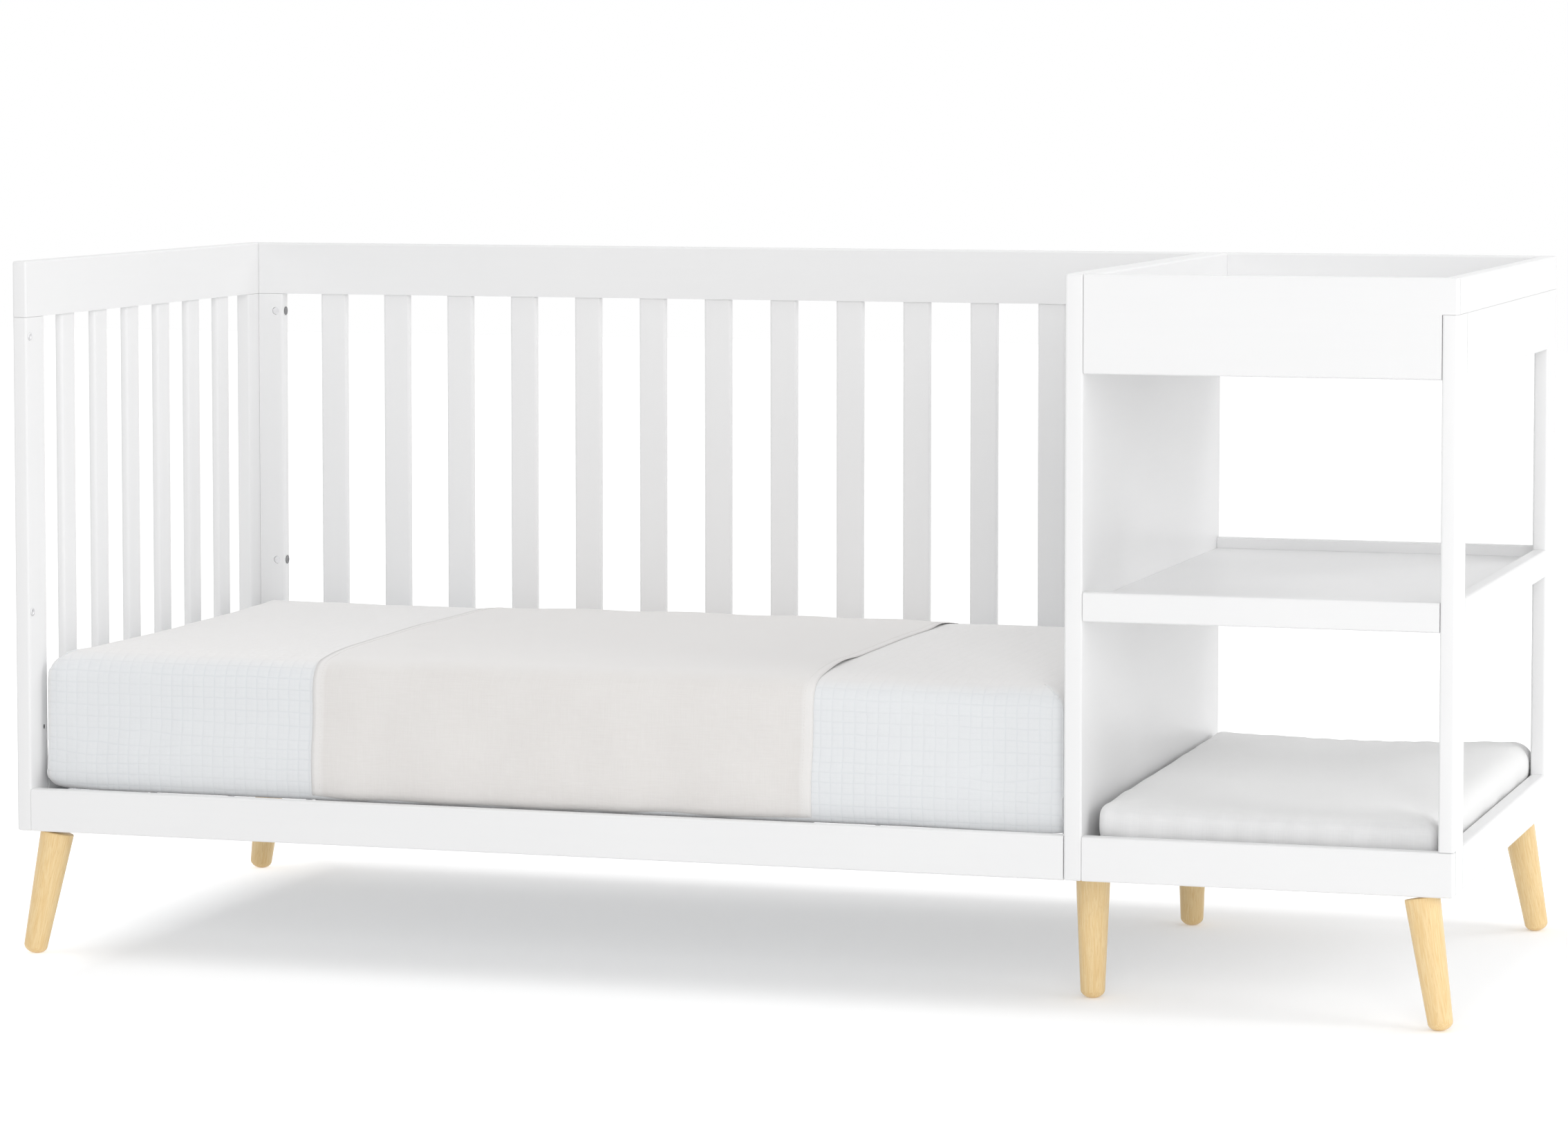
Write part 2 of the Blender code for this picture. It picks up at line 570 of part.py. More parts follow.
for frame, length in leg_frames:
    stud_hole = rod_profile(STUD_RADIUS + SEAM, length - OVERRUN, length + STUD_HEIGHT + SEAM)
    add_turned(stud_holes, stud_hole, frame)
stud_cutter = cutter("stud_holes", stud_holes)
block_carriers = ((front_rail, front_block), (back_bottom_rail, rear_block), (bottom_panel, shelf_blocks))
for carrier, blocks in block_carriers:
    join(carrier, box_cutter(f"{carrier.name}_blocks", blocks))
    cut(carrier, stud_cutter)
cut(divider, stud_cutter)


# Bolts through the crib end and the divider, those of the stiles each held by a barrel nut
def turned_cutter(name, profile, place):
    """A hidden turned object that cuts others or is joined to them."""
    bm = bmesh.new()
    add_turned(bm, profile, place)
    return cutter(name, bm)


def bolt_and_hole(outer_x, inward, y, z, drilled):
    """A bolt that goes in from a wall's outer face, and the hole drilled for it."""
    along = Matrix.Rotation(-inward * math.pi / 2, 4, "Y")
    place = Matrix.Translation((outer_x + inward * SEAM, y, z)) @ along
    bolt = turned_cutter("bolt", bolt_profile(BOLT_LENGTH), place)
    hole = turned_cutter("bolt_hole", bolt_profile(drilled, SEAM, OVERRUN), place)
    return bolt, hole


def nut_and_hole(x, z):
    """A barrel nut that goes into a stile from the bay, and the blind hole drilled for it."""
    place = Matrix.Translation((x, back_middle, z)) @ Matrix.Rotation(math.pi / 2, 4, "X")
    nut = turned_cutter("nut", rod_profile(NUT_RADIUS, -NUT_LENGTH / 2, NUT_LENGTH / 2), place)
    hole = rod_profile(NUT_RADIUS + SEAM, -NUT_LENGTH / 2 - SEAM, NUT_LENGTH / 2 + OVERRUN)
    return nut, turned_cutter("nut_hole", hole, place)


front_bolt_y = (Y_FRONT + Y_BAY_FRONT) / 2
rail_bolt_z = LEG_HEIGHT + FRONT_RAIL_HEIGHT / 2
stile_bolt_levels = {}
for level, share in STILE_BOLT_SHARES.items():
    stile_bolt_levels[level] = PANEL_RAIL_TOP + share * (TOP_RAIL_UNDER - PANEL_RAIL_TOP)
for side, outer_x, bay_face_x, front_wall, rear_wall, stile in (
    ("left", X_LEFT, X_BAY_LEFT, end_front_post, end_rear_post, back_left_stile),
    ("right", X_CHANGER_LEFT, X_BAY_RIGHT, divider, divider, back_right_stile),
):
    inward = math.copysign(1, bay_face_x - outer_x)
    bolted_rails = ((front_rail, front_wall, front_bolt_y), (back_bottom_rail, rear_wall, back_middle))
    for rail, wall, y in bolted_rails:
        bolt, hole = bolt_and_hole(outer_x, inward, y, rail_bolt_z, BOLT_LENGTH)
        cut(wall, hole)
        join(rail, bolt)
    through_stile = abs(bay_face_x - outer_x) + STILE_WIDTH + OVERRUN
    for level, z in stile_bolt_levels.items():
        bolt, hole = bolt_and_hole(outer_x, inward, back_middle, z, through_stile)
        nut, nut_hole = nut_and_hole(bay_face_x + inward * NUT_IN, z)
        cut(rear_wall, hole)
        cut(stile, hole)
        cut(stile, nut_hole)
        panel_bolt = add_object(f"panel_bolt_{side}_{level}", bolt.data.copy(), STEEL, CRIB_BACK)
        join(panel_bolt, nut)

# Holes for the crib's fourth side, which this form leaves off
side_holes = bmesh.new()
for z in stile_bolt_levels.values():
    for bay_face_x, wall_side in ((X_BAY_LEFT, -1.0), (X_BAY_RIGHT, 1.0)):
        place = Matrix.Translation((bay_face_x, front_bolt_y, z)) @ Matrix.Rotation(math.pi / 2, 4, "Y")
        ends = sorted((-wall_side * OVERRUN, wall_side * SIDE_HOLE_DEPTH))
        add_turned(side_holes, rod_profile(BOLT_RADIUS + SEAM, *ends), place)
side_hole_cutter = cutter("side_holes", side_holes)
cut(end_front_post, side_hole_cutter)
cut(divider, side_hole_cutter)

# Mattress support: a welded angle frame, with long wires joggled down at their ends over cross wires
support_x = bay_x
support_y = grown((Y_BAY_FRONT, Y_BAY_BACK), -SUPPORT_SIDE_GAP)
angle_mesh = bmesh.new()
bmesh.ops.create_grid(angle_mesh, x_segments=1, y_segments=1, size=ANGLE_LEG)
for vert in angle_mesh.verts:
    vert.co = Vector((support_x[vert.co.x > 0], support_y[vert.co.y > 0], WIRE_BED))
bmesh.ops.inset_region(
    angle_mesh, faces=angle_mesh.faces, thickness=ANGLE_LEG, use_boundary=True, use_even_offset=True
)
rim = [edge for edge in angle_mesh.edges if edge.is_boundary]
opening = [face for face in angle_mesh.faces if not any(edge.is_boundary for edge in face.edges)]
skirt = bmesh.ops.extrude_edge_only(angle_mesh, edges=rim)["geom"]
bmesh.ops.delete(angle_mesh, geom=opening, context="FACES")
skirt_verts = [item for item in skirt if isinstance(item, bmesh.types.BMVert)]
bmesh.ops.translate(angle_mesh, vec=(0.0, 0.0, -ANGLE_LEG), verts=skirt_verts)
mattress_support = add_object("mattress_support", mesh_from("mattress_support", angle_mesh), STEEL, BASE)
angle_wall = mattress_support.modifiers.new("angle_wall", "SOLIDIFY")
angle_wall.thickness = ANGLE_THICKNESS
angle_wall.offset = -1.0
angle_wall.use_even_offset = True


def wires(name, routes):
    """A hidden mesh of round wires, one along each route of points."""
    curve = bpy.data.curves.new(name, "CURVE")
    curve.dimensions = "3D"
    curve.bevel_depth = WIRE_RADIUS
    curve.bevel_resolution = 1
    curve.use_fill_caps = True
    for route in routes:
        spline = curve.splines.new("POLY")
        spline.points.add(len(route) - 1)
        for point, place in zip(spline.points, route):
            point.co = (*place, 1.0)
    guide = bpy.data.objects.new(name, curve)
    CUTTERS.objects.link(guide)
    evaluated = guide.evaluated_get(bpy.context.evaluated_depsgraph_get())
    bm = bmesh.new()
    bm.from_mesh(bpy.data.meshes.new_from_object(evaluated))
    bmesh.ops.remove_doubles(bm, verts=bm.verts, dist=SEAM / 10)
    bpy.data.objects.remove(guide)
    return cutter(name, bm)


cross_z = WIRE_BED + WIRE_RADIUS - WELD
long_z = cross_z + 2 * WIRE_RADIUS - WELD
wire_x = grown(support_x, -WIRE_END_IN)
wire_y = grown(support_y, -WIRE_END_IN)
ramp_x = grown(support_x, -ANGLE_LEG)
level_x = grown(ramp_x, -WIRE_RAMP)
cross_step = (level_x[1] - level_x[0]) / (CROSS_WIRES + 1)
long_step = (support_y[1] - support_y[0]) / (LONG_WIRES + 1)
cross_routes = []
for index in range(CROSS_WIRES):
    x = level_x[0] + cross_step * (index + 1)
    cross_routes.append([(x, wire_y[0], cross_z), (x, wire_y[1], cross_z)])
long_routes = []
for index in range(LONG_WIRES):
    y = support_y[0] + long_step * (index + 1)
    left = [(wire_x[0], y, cross_z), (ramp_x[0], y, cross_z), (level_x[0], y, long_z)]
    right = [(level_x[1], y, long_z), (ramp_x[1], y, cross_z), (wire_x[1], y, cross_z)]
    long_routes.append(left + right)
join(mattress_support, wires("cross_wires", cross_routes))
join(mattress_support, wires("long_wires", long_routes))

# Bolts through the angle frame's ends, fused with it, and the spare holes for the next height up
support_bolts = bmesh.new()
support_holes = bmesh.new()
bolt_level = WIRE_BED - (ANGLE_LEG + ANGLE_THICKNESS) / 2
for wall_x, frame_x, inward in ((X_BAY_LEFT, support_x[0], 1.0), (X_BAY_RIGHT, support_x[1], -1.0)):
    head_top = frame_x + inward * (ANGLE_THICKNESS + BOLT_HEAD_HEIGHT - WELD)
    into_wall = Matrix.Rotation(inward * math.pi / 2, 4, "Y")
    for y in (Y_FRONT + SUPPORT_BOLT_IN, Y_BACK - SUPPORT_BOLT_IN):
        place = Matrix.Translation((head_top, y, bolt_level)) @ into_wall
        add_turned(support_bolts, bolt_profile(SUPPORT_BOLT_LENGTH), place)
        hole = rod_profile(BOLT_RADIUS + SEAM, -SUPPORT_BOLT_LENGTH - SEAM, 0.0)
        add_turned(support_holes, hole, place)
        add_turned(support_holes, hole, Matrix.Translation((0.0, 0.0, SPARE_HOLE_RISE)) @ place)
join(mattress_support, cutter("support_bolts", support_bolts))
support_hole_cutter = cutter("support_holes", support_holes)
for wall in (end_front_post, end_rear_post, divider):
    cut(wall, support_hole_cutter)

# Mattress
mattress_x = grown((X_BAY_LEFT, X_BAY_RIGHT), -MATTRESS_END_GAP)
mattress_y = grown((Y_BAY_FRONT, Y_BAY_BACK), -MATTRESS_SIDE_GAP)


def share_of(place, span):
    """How far a place is from the middle of a span, from -1 at its start to 1 at its end."""
    middle = (span[0] + span[1]) / 2
    return (place - middle) / (span[1] - middle)


def crown_at(x, y):
    """How much the mattress's top rises above its edges."""
    return MATTRESS_CROWN * (1 - share_of(x, mattress_x) ** 2) * (1 - share_of(y, mattress_y) ** 2)


def draw_at(place, span):
    """How far a side of the mattress is drawn in at a place along it."""
    return MATTRESS_DRAW * (1 - share_of(place, span) ** 2)


def soft_form(name, spans, rounding, shape, material, parent):
    """A cushion: a box with a loop by each edge and one midway, moved by a shape function and subdivided.

    The lower edges have no loop of their own, so the sides draw in gently towards the bottom.
    """
    bm = bmesh.new()
    add_box(bm, *spans)
    middles = [(span[0] + span[1]) / 2 for span in spans]
    loops = [
        [spans[0][0] + rounding, middles[0], spans[0][1] - rounding],
        [spans[1][0] + rounding, middles[1], spans[1][1] - rounding],
        [spans[2][1] - rounding],
    ]
    for axis, places in enumerate(loops):
        normal = Vector([float(index == axis) for index in range(3)])
        for level in places:
            parts = bm.verts[:] + bm.edges[:] + bm.faces[:]
            bmesh.ops.bisect_plane(bm, geom=parts, dist=SEAM / 10, plane_co=normal * level, plane_no=normal)
    origin = Vector((middles[0], middles[1], spans[2][0]))
    for vert in bm.verts:
        vert.co = Vector(shape(*vert.co)) - origin
    obj = add_object(name, mesh_from(name, bm), material, parent, origin)
    obj.data.shade_smooth()
    smooth = obj.modifiers.new("soft_surface", "SUBSURF")
    smooth.levels = SOFT_LEVELS
    smooth.render_levels = SOFT_LEVELS
    return obj


def mattress_shape(x, y, z):
    """Raises the top to its crown and draws the sides in."""
    rise = crown_at(x, y) if z > SUPPORT_TOP + MATTRESS_THICKNESS / 2 else 0.0
    drawn_x = draw_at(y, mattress_y) * share_of(x, mattress_x)
    drawn_y = draw_at(x, mattress_x) * share_of(y, mattress_y)
    return x - drawn_x, y - drawn_y, z + rise


mattress_z = (SUPPORT_TOP, SUPPORT_TOP + MATTRESS_THICKNESS)
mattress_spans = (mattress_x, mattress_y, mattress_z)
mattress = soft_form("mattress", mattress_spans, MATTRESS_ROUND, mattress_shape, SHEET, BEDDING)

# Throw laid over the mattress, with both ends tucked round its lower edges
throw_x = (X_BAY_LEFT + THROW_FROM_LEFT, X_BAY_LEFT + THROW_FROM_LEFT + THROW_WIDTH)
tuck_angle = math.acos(1 - THROW_HEM_HEIGHT / MATTRESS_ROUND)


def arc_points(middle, start, end, steps):
    """Points of an arc of the mattress's rounding, as (y, z, out_y, out_z) with the way out of the arc."""
    points = []
    for index in range(steps + 1):
        angle = start + (end - start) * index / steps
        out_y, out_z = math.cos(angle), math.sin(angle)
        y, z = middle[0] + MATTRESS_ROUND * out_y, middle[1] + MATTRESS_ROUND * out_z
        points.append((y, z, out_y, out_z))
    return points


def throw_section():
    """The line that the throw follows, from its front hem over the top to its back hem."""
    low_z, high_z = grown(mattress_z, -MATTRESS_ROUND)
    front_y, back_y = grown(mattress_y, -MATTRESS_ROUND)
    quarter = math.pi / 2
    section = arc_points((front_y, low_z), math.pi + quarter - tuck_angle, math.pi, THROW_ARC_STEPS)
    section += arc_points((front_y, high_z), math.pi, quarter, THROW_ARC_STEPS)
    for index in range(1, THROW_TOP_STEPS):
        section.append((front_y + (back_y - front_y) * index / THROW_TOP_STEPS, mattress_z[1], 0.0, 1.0))
    section += arc_points((back_y, high_z), quarter, 0.0, THROW_ARC_STEPS)
    section += arc_points((back_y, low_z), 0.0, tuck_angle - quarter, THROW_ARC_STEPS)
    return section


throw_mesh = bmesh.new()
section = throw_section()
throw_origin = Vector((sum(throw_x) / 2, sum(mattress_y) / 2, mattress_z[1]))
bmesh.ops.create_grid(throw_mesh, x_segments=THROW_COLUMNS, y_segments=len(section) - 1, size=0.5)
for vert in throw_mesh.verts:
    along = vert.co.x + 0.5
    row = round((vert.co.y + 0.5) * (len(section) - 1))
    y, z, out_y, out_z = section[row]
    x = throw_x[0] + THROW_WIDTH * along
    lift = THROW_LIFT + THROW_FOLD * (1 + math.sin(THROW_FOLDS * math.pi * along + row))
    rise = crown_at(x, y) * max(out_z, 0.0)
    drawn = draw_at(x, mattress_x) * share_of(y, mattress_y)
    vert.co = Vector((x, y - drawn + lift * out_y, z + rise + lift * out_z)) - throw_origin
throw_cloth = mesh_from("throw_blanket", throw_mesh, recalculate=False)
throw = add_object("throw_blanket", throw_cloth, THROW, BEDDING, throw_origin)
throw.data.shade_smooth()
laid = throw.modifiers.new("laid_on_mattress", "SHRINKWRAP")
laid.target = mattress
laid.wrap_method = "NEAREST_SURFACEPOINT"
laid.wrap_mode = "OUTSIDE_SURFACE"
laid.offset = THROW_LIFT
cloth = throw.modifiers.new("cloth", "SOLIDIFY")
cloth.thickness = THROW_THICKNESS
cloth.offset = 1.0

# Changing pad on the bottom shelf, with its long edges raised
pad_x = grown((X_CHANGER_LEFT, X_CHANGER_RIGHT), -PAD_GAP_X)
pad_y = grown(shelf_rails_y, -PAD_GAP_Y)
pad_bottom = bottom_panel_top + SEAM


def pad_shape(x, y, z):
    """Lowers the middle of the top between the two long edges."""
    dip = (PAD_EDGE_HEIGHT - PAD_MIDDLE_HEIGHT) * (1 - share_of(x, pad_x) ** 2)
    return x, y, z - dip if z > pad_bottom + PAD_EDGE_HEIGHT / 2 else z


pad_z = (pad_bottom, pad_bottom + PAD_EDGE_HEIGHT)
soft_form("changing_pad", (pad_x, pad_y, pad_z), PAD_ROUND, pad_shape, PAD_COVER, SHELVES)
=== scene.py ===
"""Looks for the crib and changer: painted boards, turned legs, bedding, a plain floor and soft light.

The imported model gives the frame. Its boards stay and are painted. The legs, the mattress with its fitted
sheet, the throw and the changing pad are new pieces that stand where the model's plain ones stand.
Everything is in metres in the model's own frame: X along the length, -Y the open front, Z up.
"""

import json
import logging
import math
from collections.abc import Iterator
from contextlib import contextmanager
from dataclasses import dataclass, field
from enum import Enum

import bmesh
import bpy
import numpy as np
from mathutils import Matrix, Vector


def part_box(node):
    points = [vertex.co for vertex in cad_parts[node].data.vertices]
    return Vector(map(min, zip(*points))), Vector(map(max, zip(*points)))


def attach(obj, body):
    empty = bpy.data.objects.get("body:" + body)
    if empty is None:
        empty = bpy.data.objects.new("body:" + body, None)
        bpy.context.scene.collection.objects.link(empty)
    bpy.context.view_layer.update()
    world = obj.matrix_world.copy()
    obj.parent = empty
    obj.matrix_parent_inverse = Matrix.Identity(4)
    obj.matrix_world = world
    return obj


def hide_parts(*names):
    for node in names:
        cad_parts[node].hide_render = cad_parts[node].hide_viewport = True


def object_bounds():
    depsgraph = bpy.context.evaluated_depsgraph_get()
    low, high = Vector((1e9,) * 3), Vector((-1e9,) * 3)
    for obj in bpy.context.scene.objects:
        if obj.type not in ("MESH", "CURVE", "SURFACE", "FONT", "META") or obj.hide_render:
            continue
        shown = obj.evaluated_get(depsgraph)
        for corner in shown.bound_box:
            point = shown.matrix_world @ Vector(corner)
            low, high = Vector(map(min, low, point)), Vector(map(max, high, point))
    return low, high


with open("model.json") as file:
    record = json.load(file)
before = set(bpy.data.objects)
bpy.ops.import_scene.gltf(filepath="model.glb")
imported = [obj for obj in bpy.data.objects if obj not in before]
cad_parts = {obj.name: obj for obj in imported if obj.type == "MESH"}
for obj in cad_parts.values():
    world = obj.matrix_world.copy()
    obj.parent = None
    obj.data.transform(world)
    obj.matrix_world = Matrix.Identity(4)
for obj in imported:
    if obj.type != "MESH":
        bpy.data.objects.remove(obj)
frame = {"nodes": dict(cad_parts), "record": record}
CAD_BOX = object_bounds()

log = logging.getLogger("crib_and_changer")
logging.basicConfig(level=logging.INFO, format="%(message)s")

Mesh = bpy.types.Mesh
Object = bpy.types.Object
Material = bpy.types.Material
Node = bpy.types.Node
Socket = bpy.types.NodeSocket
Tree = bpy.types.NodeTree
Rows = np.ndarray
Pair = tuple[float, float]
Triple = tuple[float, float, float]

CLOTH_MAP = "cloth_metres"
TURNED_PLACE = "turned_place"
HEM_BAND = "hem_band"
FULL_TURN = 2 * math.pi
IN_PLAN = [0, 1]
IN_SECTION = [0, 2]
MERGE_DISTANCE = 1e-6
SEWN_GAP = 0.0002
UNIT = (0.0, 1.0)
WHITE = (1.0, 1.0, 1.0)


class Slot(Enum):
    """The record's material slots."""

    PAINT = "white_paint"
    LEG_WOOD = "leg_wood"
    STEEL = "zinc_steel"
    SHEET = "muslin_sheet"
    THROW = "throw_cloth"
    PAD = "pad_cover"


class Body(Enum):
    """The model's moving bodies."""

    FURNITURE = "crib_and_changer"
    MATTRESS = "mattress"
    PAD = "changing_pad"


class Run(Enum):
    """The way a board's fibres run: how closely they repeat along each axis."""

    ALONG_X = (7.0, 160.0, 160.0)
    ALONG_Y = (160.0, 7.0, 160.0)
    ALONG_Z = (160.0, 160.0, 7.0)


# ---------------------------------------------------------------- meshes


def grid_quads(rows: int, columns: int, closed: bool = False) -> Rows:
    """Numbers the quads of a grid of points stored row by row.

    Args:
        rows: Points along the first parameter.
        columns: Points along the second parameter.
        closed: Whether the last column joins the first.

    Returns:
        Four point numbers for each quad.
    """
    across = columns if closed else columns - 1
    row = np.arange(rows - 1)[:, None] * columns
    start = np.arange(across)[None, :]
    after = (start + 1) % columns
    corners = (row + start, row + after, row + columns + after, row + columns + start)
    return np.stack(corners, axis=-1).reshape(-1, 4)


def read_rows(items: bpy.types.bpy_prop_collection, name: str, width: int, kind: type = np.float32) -> Rows:
    """One property of all of a mesh's points, corners or faces, as rows of a width.

    Args:
        items: The mesh's points, corners or faces.
        name: The property's name.
        width: How many numbers each item has.
        kind: The kind of number.

    Returns:
        A row for each item.
    """
    flat = np.empty(len(items) * width, kind)
    items.foreach_get(name, flat)
    return flat.reshape(-1, width)


def write_rows(items: bpy.types.bpy_prop_collection, name: str, rows: Rows, kind: type = np.float32) -> None:
    """Writes one property of all of a mesh's points, corners or faces from rows."""
    items.foreach_set(name, np.asarray(rows, kind).ravel())


def mesh_of(name: str, points: Rows, quads: Rows) -> Mesh:
    """Puts rows of places and rows of four point numbers into a new smooth-shaded mesh.

    Args:
        name: The mesh's name.
        points: Places, one row each.
        quads: Four point numbers in each row.

    Returns:
        The mesh.
    """
    mesh = bpy.data.meshes.new(name)
    mesh.vertices.add(len(points))
    write_rows(mesh.vertices, "co", points)
    mesh.loops.add(quads.size)
    write_rows(mesh.loops, "vertex_index", quads, np.int32)
    mesh.polygons.add(len(quads))
    write_rows(mesh.polygons, "loop_start", np.arange(0, quads.size, 4), np.int32)
    mesh.update(calc_edges=True)
    mesh.shade_smooth()
    return mesh


@contextmanager
def mending(mesh: Mesh) -> Iterator[bmesh.types.BMesh]:
    """Opens a mesh to be mended in place, and turns every face outwards at the end.

    Args:
        mesh: The mesh to mend.

    Returns:
        A context that gives the open mesh.
    """
    bm = bmesh.new()
    bm.from_mesh(mesh)
    yield bm
    bmesh.ops.recalc_face_normals(bm, faces=bm.faces)
    bm.to_mesh(mesh)
    bm.free()
    mesh.shade_smooth()


def close_up(mesh: Mesh) -> Mesh:
    """Merges the doubled points of a mesh's seams and poles, in place, and returns it.

    Args:
        mesh: The mesh to close.

    Returns:
        The same mesh.
    """
    with mending(mesh) as bm:
        bmesh.ops.remove_doubles(bm, verts=bm.verts, dist=MERGE_DISTANCE)
        bmesh.ops.dissolve_degenerate(bm, edges=bm.edges, dist=MERGE_DISTANCE)
    return mesh


def places_of(mesh: Mesh) -> Rows:
    """The place of each of a mesh's points."""
    return read_rows(mesh.vertices, "co", 3).astype(float)


def outward_of(mesh: Mesh) -> Rows:
    """The way out of the surface at each of a mesh's points, at length one."""
    return read_rows(mesh.vertex_normals, "vector", 3).astype(float)


def put_places(mesh: Mesh, points: Rows) -> None:
    """Moves a mesh's points."""
    write_rows(mesh.vertices, "co", points)
    mesh.update()


def corners_of(mesh: Mesh) -> Rows:
    """The point number of each corner of a mesh's faces."""
    return read_rows(mesh.loops, "vertex_index", 1, np.int32)[:, 0]


def map_cloth(mesh: Mesh, metres: Rows) -> None:
    """Writes a mesh's cloth map: a place in metres for each corner of its faces."""
    write_rows(mesh.uv_layers.new(name=CLOTH_MAP).data, "uv", metres)


def piece(name: str, mesh: Mesh, material: Material) -> Object:
    """Makes an object at the origin from a mesh that holds its own place, and links it to the scene.

    Args:
        name: The piece's name.
        mesh: Its mesh.
        material: Its finish.

    Returns:
        The object.
    """
    mesh.materials.append(material)
    obj = bpy.data.objects.new(name, mesh)
    bpy.context.scene.collection.objects.link(obj)
    return obj


def dress(obj: Object, body: Body, node: str = "") -> None:
    """Hides the model's node that a piece stands for, if there is one, and sets the piece on its body.

    Args:
        obj: The piece.
        body: The body that it rides on.
        node: The node's name, or none.
    """
    if node:
        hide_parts(node)
    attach(obj, body.value)


def add_modifier(obj: Object, kind: str, **values: object) -> bpy.types.Modifier:
    """Adds one modifier with its settings.

    Args:
        obj: The piece.
        kind: The modifier's kind.
        **values: Its settings by name.

    Returns:
        The modifier.
    """
    modifier = obj.modifiers.new(kind.lower(), kind)
    for key, value in values.items():
        setattr(modifier, key, value)
    return modifier


def settle(obj: Object) -> None:
    """Replaces a piece's mesh by the one that its modifiers make, and drops the modifiers.

    Args:
        obj: The piece.
    """
    graph = bpy.context.evaluated_depsgraph_get()
    graph.update()
    made = bpy.data.meshes.new_from_object(obj.evaluated_get(graph), depsgraph=graph)
    old = obj.data
    obj.modifiers.clear()
    obj.data = made
    made.name = old.name
    bpy.data.meshes.remove(old)
    made.shade_smooth()


def laid_on(points: Rows, target: Object, offset: float) -> Rows:
    """Moves points to the nearest place on a piece.

    Args:
        points: The places to move.
        target: The piece to lay them on.
        offset: How far outside its surface they end.

    Returns:
        The moved places.
    """
    guide = bpy.data.objects.new("guide", mesh_of("guide", points, np.empty((0, 4), int)))
    bpy.context.scene.collection.objects.link(guide)
    wrap = add_modifier(guide, "SHRINKWRAP", target=target, offset=offset)
    wrap.wrap_method = "NEAREST_SURFACEPOINT"
    wrap.wrap_mode = "OUTSIDE_SURFACE"
    graph = bpy.context.evaluated_depsgraph_get()
    graph.update()
    moved = places_of(guide.evaluated_get(graph).data)
    bpy.data.objects.remove(guide)
    return moved


def unit(rows: Rows) -> Rows:
    """Each row at length one."""
    return rows / np.maximum(np.linalg.norm(rows, axis=-1, keepdims=True), 1e-12)


def around(steps: int) -> Rows:
    """Even angles once round."""
    return np.linspace(0, FULL_TURN, steps, endpoint=False)


def run_along(line: Rows) -> Rows:
    """How far along a line each of its points is."""
    return np.concatenate([[0.0], np.cumsum(np.linalg.norm(np.diff(line, axis=0), axis=1))])


def read_at(at: Rows, run: Rows, rows: Rows) -> Rows:
    """Rows that go with the points of a line, read off at other runs along it."""
    return np.stack([np.interp(at, run, column) for column in rows.T], axis=1)


def tangents(path: Rows, closed: bool) -> Rows:
    """The direction along a path at each point: the step from the point before to the one after.

    Args:
        path: Points along the path.
        closed: Whether the path is a loop.

    Returns:
        A row at length one for each point.
    """
    if closed:
        return unit(np.roll(path, -1, axis=0) - np.roll(path, 1, axis=0))
    return unit(np.gradient(path, axis=0))


def swept(name: str, path: Rows, out: Rows, size: Pair, closed: bool, sides: int = 8) -> Mesh:
    """A tube along a path: the point plus an oval turned about the path's direction.

    Args:
        name: The mesh's name.
        path: Points along the path.
        out: The way out of the surface it lies on at each point.
        size: The oval's half width beside the path and half height along out.
        closed: Whether the path is a loop.
        sides: Points round the oval.

    Returns:
        The closed mesh.
    """
    along = tangents(path, closed)
    beside = unit(np.cross(along, out))
    up = np.cross(beside, along)
    c, s = (wave(around(sides))[None, :, None] for wave in (np.cos, np.sin))
    rows = path[:, None] + (beside[:, None] * c * size[0] + up[:, None] * s * size[1])
    tips = [np.repeat(path[at, None], sides, 1) for at in (slice(0, 1), slice(-1, None))]
    rows = np.concatenate([rows, rows[:1]] if closed else [tips[0], rows, tips[1]])
    return close_up(mesh_of(name, rows.reshape(-1, 3), grid_quads(len(rows), sides, closed=True)))


@dataclass(frozen=True)
class Stitch:
    """A sewn stitch: a short bowed capsule of thread, set at even steps along a seam."""

    pitch: float = 0.0042
    length: float = 0.0030
    radius: float = 0.00032
    bow: float = 0.9
    sides: int = 6
    section: tuple[Pair, ...] = ((-0.5, 0.02), (-0.38, 0.8), (0.0, 1.0), (0.38, 0.8), (0.5, 0.02))

    def sew(self, name: str, path: Rows, out: Rows) -> Mesh:
        """Sews a row of stitches.

        Args:
            name: The mesh's name.
            path: Points along the seam.
            out: The way out of the cloth at each point.

        Returns:
            One mesh with every stitch.
        """
        run = run_along(path)
        at = np.arange(self.pitch, run[-1] - self.pitch / 2, self.pitch)
        middle = read_at(at, run, path)
        along, up = unit(read_at(at, run, tangents(path, False))), unit(read_at(at, run, out))
        beside = unit(np.cross(along, up))
        rows = np.array(self.section)
        turn = around(self.sides)
        reach, round_by = rows[:, 0] * self.length, rows[:, 1] * self.radius
        bow = (1 - (2 * rows[:, 0]) ** 2) * self.radius * self.bow
        rise = bow[:, None] + round_by[:, None] * np.sin(turn)[None]
        points = (
            middle[:, None, None]
            + along[:, None, None] * reach[None, :, None, None]
            + up[:, None, None] * rise[None, :, :, None]
            + beside[:, None, None] * (round_by[:, None] * np.cos(turn)[None])[None, :, :, None]
        )
        first = np.arange(len(at)) * len(rows) * self.sides
        quads = first[:, None, None] + grid_quads(len(rows), self.sides, closed=True)[None]
        mesh = mesh_of(name, points.reshape(-1, 3), quads.reshape(-1, 4))
        with mending(mesh) as bm:
            bmesh.ops.holes_fill(bm, edges=bm.edges, sides=self.sides)
        return mesh


